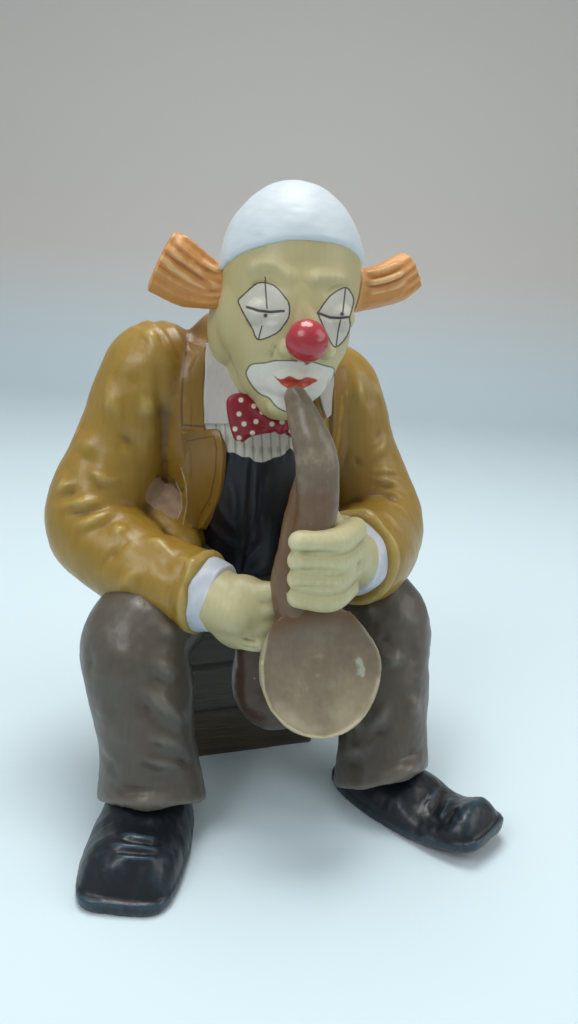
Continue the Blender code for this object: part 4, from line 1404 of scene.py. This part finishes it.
RIGHT_LEG = [(-16, 4, 100, 24, 23), (-26, -14, 98, 25, 23), (-48, -44, 97, 25, 22), (-67, -64, 86, 26, 25),
             (-66, -75, 64, 24.5, 23), (-63, -79, 38, 23, 22), (-61, -82, 12, 27, 24)]
LEFT_LEG = [(16, 4, 100, 24, 23), (26, -14, 98, 25, 23), (46, -38, 97, 25, 22), (62, -58, 86, 26, 25),
            (61, -72, 64, 24.5, 23), (57, -85, 38, 25, 22), (55, -93, 12, 27, 23)]
TROUSER_FOLDS = [
    (2.8, 1.6, [(143, 662), (156, 663), (170, 670), (184, 679)]),
    (2.2, -1.6, [(144, 670), (154, 675), (163, 682), (180, 687)]),
    (3.0, 1.7, [(134, 684), (145, 691), (156, 698), (168, 708), (180, 718), (191, 729)]),
    (2.4, -1.8, [(125, 679), (134, 691), (143, 703), (153, 714), (163, 725), (184, 737)]),
    (2.8, 1.4, [(137, 732), (152, 737), (167, 741), (180, 747), (194, 753)]),
    (2.8, 1.5, [(127, 749), (141, 756), (160, 762), (180, 767), (198, 775)]),
    (2.2, -1.4, [(170, 757), (184, 762), (198, 768)]),
    (3.4, 1.0, [(100, 691), (102, 711), (104, 732)]),
    (3.0, -0.9, [(112, 690), (115, 710), (116, 730)]),
    (2.4, -1.8, [(106, 778), (118, 788), (136, 792), (163, 789), (190, 786)]),
    (4.0, 1.6, [(108, 801), (136, 802), (165, 800), (196, 806)]),
    (3.4, -1.1, [(86, 640), (90, 662), (90, 686)]),
    (3.0, 1.2, [(150, 620), (166, 632), (178, 650)]),
    (2.4, -1.2, [(158, 612), (174, 622), (184, 640)]),
    (3.0, 1.3, [(94, 744), (108, 752), (120, 764)]),
    (2.4, -1.2, [(98, 756), (110, 766), (120, 778)]),
    (2.8, 1.3, [(356, 607), (370, 610), (383, 611)]),
    (2.4, -1.4, [(389, 631), (384, 640), (379, 647)]),
    (2.8, 1.4, [(399, 647), (393, 660), (387, 671)]),
    (2.8, 1.6, [(391, 698), (382, 716), (369, 732)]),
    (2.4, -1.6, [(365, 742), (375, 735), (385, 728), (395, 718)]),
    (2.4, -1.6, [(427, 748), (418, 752), (409, 756), (391, 767), (372, 772)]),
    (3.6, 1.8, [(426, 760), (412, 768), (394, 776), (372, 780)]),
    (2.8, 1.2, [(332, 750), (346, 752), (360, 750), (379, 742)]),
    (2.4, -1.1, [(334, 762), (350, 764), (366, 760)]),
    (3.2, -1.0, [(408, 620), (412, 650), (410, 684)]),
    (3.0, 1.1, [(420, 690), (414, 706), (404, 722)]),
    (3.0, 1.2, [(344, 716), (356, 722), (366, 716)]),
]
TROUSER_BACK_FOLDS = [
    (3.0, 1.6, [(-84, -50, 70), (-70, -46, 66), (-54, -52, 62)]),
    (2.6, -1.5, [(-86, -56, 62), (-70, -52, 58), (-52, -58, 56)]),
    (3.0, 1.4, [(-84, -62, 48), (-66, -54, 44), (-48, -62, 44)]),
    (2.6, -1.4, [(-86, -70, 22), (-64, -58, 24), (-44, -68, 22)]),
    (3.0, 1.6, [(80, -44, 70), (66, -42, 66), (50, -50, 64)]),
    (2.6, -1.5, [(82, -52, 62), (66, -50, 58), (48, -58, 56)]),
    (3.0, 1.4, [(80, -66, 48), (62, -60, 44), (46, -70, 42)]),
    (2.6, -1.4, [(78, -84, 22), (58, -70, 24), (38, -84, 22)]),
    (3.4, 1.5, [(-60, -20, 110), (-54, -14, 96), (-46, -16, 80)]),
    (3.4, 1.5, [(56, -16, 110), (52, -10, 96), (44, -12, 80)]),
    (2.6, -1.4, [(-48, -6, 112), (-46, 0, 98), (-42, 0, 82)]),
    (2.6, -1.4, [(46, -4, 112), (44, 2, 98), (40, 2, 82)]),
]
HEM_RISE = 10.0
HEM_DROP = 6.0


def make_trousers(paint):
    shapes = [limb("right leg", RIGHT_LEG, (0.75, -0.66, 0), (0.5, 0.02), rows=90, columns=64),
              limb("left leg", LEFT_LEG, (0.75, 0.66, 0), (0.5, 0.02), rows=90, columns=64),
              ball("lap", (0, -6, 96), (42, 32, 20))]
    clay = Clay(melted("trousers", shapes, CLOTH_VOXEL))
    for (_, heel, toe, *_), leg in zip(SHOES, (RIGHT_LEG, LEFT_LEG)):
        toward_toe = unit(np.array(toe, float) - np.array(heel))
        ahead = (clay.points - np.array(leg[-1][:3])) @ toward_toe
        away = np.linalg.norm(clay.points[:, :2] - np.array(leg[-1][:2]), axis=1)
        low = (1 - ease(clay.points[:, 2], 10, 52)) * (away < 42)
        clay.points[:, 2] += HEM_RISE * ease(ahead, -2, 26) * low - HEM_DROP * ease(-ahead, -4, 22) * low
    clay.settle()
    clay.ridges(TROUSER_FOLDS, 0.95, 1.45, 0.6, cloth=True)
    clay.far_ridges(TROUSER_BACK_FOLDS, 1.4, 0.9)
    clay.smooth(2).settle().wander(0.3, 20, 5)
    clay.points[:, 2] = np.maximum(clay.points[:, 2], 0.3)
    clay.mark_relief(14)
    clay.mark_relief(90, "broad")
    piece("trousers", clay.mesh, paint)


SHOE_SOLE = 6.0


def shoe_form(name, heel, toe, lift, half_widths, heights):
    """A shoe's sole and upper, melted together, with the toe end lifted."""
    start = np.array(heel, float)
    run = unit(np.array(toe, float) - start)
    across = np.array([-run[1], run[0], 0])
    length = np.linalg.norm(np.array(toe, float) - start)
    spread = np.linspace(0, 1, len(half_widths))

    def plan(along, inset):
        square = np.where(along > 0.5, 5.0, 3.0)
        share = (1 - np.abs(2 * along - 1) ** square) ** (1 / square)
        return share * (np.interp(along, spread, half_widths) - inset)

    def placed(along, out, height):
        rise = lift * np.clip((along - 0.55) / 0.45, 0, 1) ** 1.6
        base = start + (along * length)[:, None] * run
        return base + out[:, None] * across + (height + rise)[:, None] * np.array([0, 0, 1])

    def sole(along, around):
        along = (1 - np.cos(along * math.pi)) / 2
        angle = around * 2 * math.pi
        side, top = np.cos(angle), np.sin(angle)
        out = np.sign(side) * np.abs(side) ** 0.35 * plan(along, 0)
        return placed(along, out, SHOE_SOLE / 2 * (1 + np.sign(top) * np.abs(top) ** 0.35))

    def upper(along, around):
        along = (1 - np.cos(along * math.pi)) / 2
        angle = around * 2 * math.pi
        side, top = np.cos(angle), np.sin(angle)
        out = np.sign(side) * np.abs(side) ** 0.9 * plan(along, 0.4)
        ends = (1 - np.abs(2 * along - 1) ** 7) ** 0.5
        height = curve([[h] for h in heights], along)[:, 0]
        above = 2.0 + (height - 2.0) * ends * np.abs(top) ** 0.95
        return placed(0.01 + 0.975 * along, out, np.where(top > 0, above, 2.0))

    return melted(name, [rolled("sole", 120, 80, sole), rolled("upper", 120, 80, upper)], 0.85, 3)


# Name, heel, toe, lift of the toe, half widths and heights from heel to toe, creases across the upper
SHOES = (
    ("shoe_right", (-51, -55, 0), (-85, -139.5, 0), 0,
     [17, 20, 22.5, 23.5, 22.5, 21.5],
     [18, 24, 26, 25.5, 24, 21.5, 20.5, 22, 20.5, 12],
     [(2.0, 0.9, [(120, 834), (138, 837), (160, 840)]), (1.4, -0.9, [(118, 839), (140, 843), (162, 845)]),
      (1.8, 0.8, [(108, 845), (134, 846), (160, 848)]), (1.4, -0.8, [(106, 850), (134, 852), (162, 854)]),
      (1.6, 0.7, [(112, 857), (136, 858), (158, 857)]), (4.0, 0.8, [(98, 876), (116, 868), (136, 872)])]),
    ("shoe_left", (43, -66, 0), (88.5, -145, 0), 8,
     [16, 19, 21, 21.5, 21, 20.5],
     [20, 24, 25, 23.5, 21.5, 20, 14.5, 14, 18.5, 14],
     [(1.8, 0.9, [(440, 786), (432, 797), (424, 812)]), (1.4, -0.9, [(446, 789), (438, 802), (430, 818)]),
      (1.6, 0.9, [(452, 797), (446, 808), (438, 822)]), (1.4, -0.8, [(458, 806), (452, 814), (446, 826)])]),
)


def make_shoes(paint):
    for name, heel, toe, lift, half_widths, heights, strokes in SHOES:
        clay = Clay(shoe_form(name, heel, toe, lift, half_widths, heights))
        for width, height, marks in strokes:
            clay.ridge(clay.seen(marks), width, height)
        clay.settle().wander(0.25, 16, 41)
        clay.points[:, 2] = np.maximum(clay.points[:, 2], 0.0)
        clay.mark_relief(16)
        clay.mark("under", -clay.normals[:, 2])
        piece(name, clay.mesh, paint)


def shoe_paint():
    """Black paint with scuffs, over a red underside."""
    paint, colour, rough, lines, cloud, _ = plain_paint(
        "black shoe paint", "0F161D", "324B5A", "06080B", rough=0.34, strength=0.12)
    under = paint.mark("under").step(0.25, 0.6)
    colour = paint.mix(under, colour, paint.shade(cloud, paint_colour("6A2A28"), 0.2))
    scuff = paint.noise(260, 3, rough=0.65).step(1.0, 1.15)
    colour = paint.mix(scuff * 0.5, colour, paint_colour("6C7478"))
    rough = rough + scuff * 0.2 + under * 0.2
    return paint.finish(colour, rough, lines * 0.15 + cloud * 0.3, depth=0.0002)


# Crate

CRATE_SIZE = (80.0, 80.0, 82.0)
CRATE_PLANKS = 3
CRATE_INSET = 0.8
GROOVE = 1.9
SIDE = 0.499


def make_crate(paint):
    box = bmesh.new()
    bmesh.ops.create_cube(box, size=1.0)
    bmesh.ops.subdivide_edges(box, edges=box.edges, cuts=62, use_grid_fill=True)
    mesh = bpy.data.meshes.new("crate")
    box.to_mesh(mesh)
    box.free()
    cube = read(mesh.vertices, "co", 3).astype(float)
    size = (CRATE_SIZE[0] - CRATE_INSET, CRATE_SIZE[1] - CRATE_INSET, CRATE_SIZE[2])
    points = cube * size + (0, CRATE_BACK, CRATE_SIZE[2] / 2)
    level = points[:, 2]
    sides = np.abs(cube[:, :2]).max(axis=1) > SIDE
    press = np.zeros(len(points))
    plank = np.zeros(len(points))
    rng = np.random.default_rng(6)
    for k in range(1, CRATE_PLANKS):
        groove = CRATE_SIZE[2] * k / CRATE_PLANKS + 0.4 * np.sin(points[:, 0] / 9
                                                                 + k) + 0.3 * np.sin(points[:, 1] / 7)
        press += GROOVE * hump(level - groove)
        plank += level > groove
    for k in range(CRATE_PLANKS):
        tone = rng.uniform(-0.3, 0.3)
        press += np.where(plank == k, tone, 0)
    run = np.where(np.abs(cube[:, 1]) > SIDE, points[:, 0], points[:, 1])
    grain = np.zeros(len(points))
    for k in range(7):
        period = rng.uniform(2.2, 6.5)
        sway = rng.uniform(0.6, 1.6) * np.sin(run / rng.uniform(8, 18) + rng.uniform(0, 6))
        grain += np.sin((level + sway) * 2 * math.pi / period + rng.uniform(0, 6)) / 4
    press += 0.35 * grain
    out = np.zeros_like(points)
    out[:, :2] = np.where(np.abs(cube[:, :2]) > SIDE, np.sign(cube[:, :2]), 0)
    points -= out * (press * sides)[:, None]
    corner = (np.abs(cube[:, 0]) > 0.49) & (np.abs(cube[:, 1]) > 0.49)
    points[:, :2] -= np.sign(cube[:, :2]) * (0.7 * corner)[:, None]
    shaped(mesh, points)
    clay = Clay(mesh)
    clay.mark_relief(14)
    clay.mark("plank", plank)
    clay.mark("grain", grain)
    piece("crate", clay.mesh, paint)


def crate_paint():
    paint = Paint("dark crate paint")
    relief, plank, grain = paint.mark("relief"), paint.mark("plank"), paint.mark("grain")
    cloud = paint.noise(40, 3)
    fine = paint.noise(500, 3, (0.15, 0.15, 1))
    base = paint.mix(plank.step(0.4, 0.6), paint_colour("453B28"), paint_colour("47443A"))
    colour = paint.mix((-relief * 1.5 - grain * 0.5 + fine * 0.4).step(0.0, 1.4), base,
                       paint_colour("16140F"))
    colour = paint.mix((relief * 1.6 + grain * 0.4 + fine * 0.4).step(0.2, 1.5) * 0.6, colour,
                       paint_colour("6A6150"))
    colour = paint.shade(cloud + fine * 0.5, colour, 0.12)
    return paint.finish(colour, 0.5 + fine * 0.05, fine * 0.6 + grain * 0.4, depth=0.0003)


# Making everything

def make_all():
    jacket_finish = jacket_paint()
    jacket = make_jacket()
    chest = make_chest()
    white = simple("white shirt paint", "B9B2AC", "D3CECA", "7E7670", rough=0.5)
    vest = vest_paint()
    tie = tie_paint()
    make_lapels(jacket, chest, jacket_finish)
    make_shirt_and_tie(chest, jacket, white, tie)
    piece("jacket", jacket.mesh, jacket_finish)
    piece("chest", chest.mesh, vest)
    make_cuffs(simple("cuff paint", "C3C8D2", "DDE0E6", "8E9098", rough=0.45))
    make_gloves(simple("cream glove paint", "BFB78A", "D8D2AC", "887E52", rough=0.42))
    make_head_pieces()
    make_hair(simple("orange hair paint", "C88A48", "E6BE88", "A46530", rough=0.42, strength=0.08))
    make_saxophone(saxophone_paint())
    make_trousers(trouser_paint())
    make_shoes(shoe_paint())
    make_crate(crate_paint())


def make_head_pieces():
    head = make_head()
    piece("head", head.mesh, head_paint())
    make_cap(simple("white cap paint", "CBD5DA", "E6EBED", "A3A9B1", rough=0.5, streaks=(0.15, 0.15, 1),
                    strength=0.04))
    clay = Clay(ball("nose", NOSE, (NOSE_RADIUS,) * 3, rows=80, columns=110))
    clay.wander(0.15, 9, 51).mark_relief(12)
    piece("nose", clay.mesh, simple("red nose paint", "A82C36", "BE4A50", "741420", rough=0.25, coat=0.3,
                                    strength=0.06))


set_camera()
set_stage()
set_lights()
make_all()
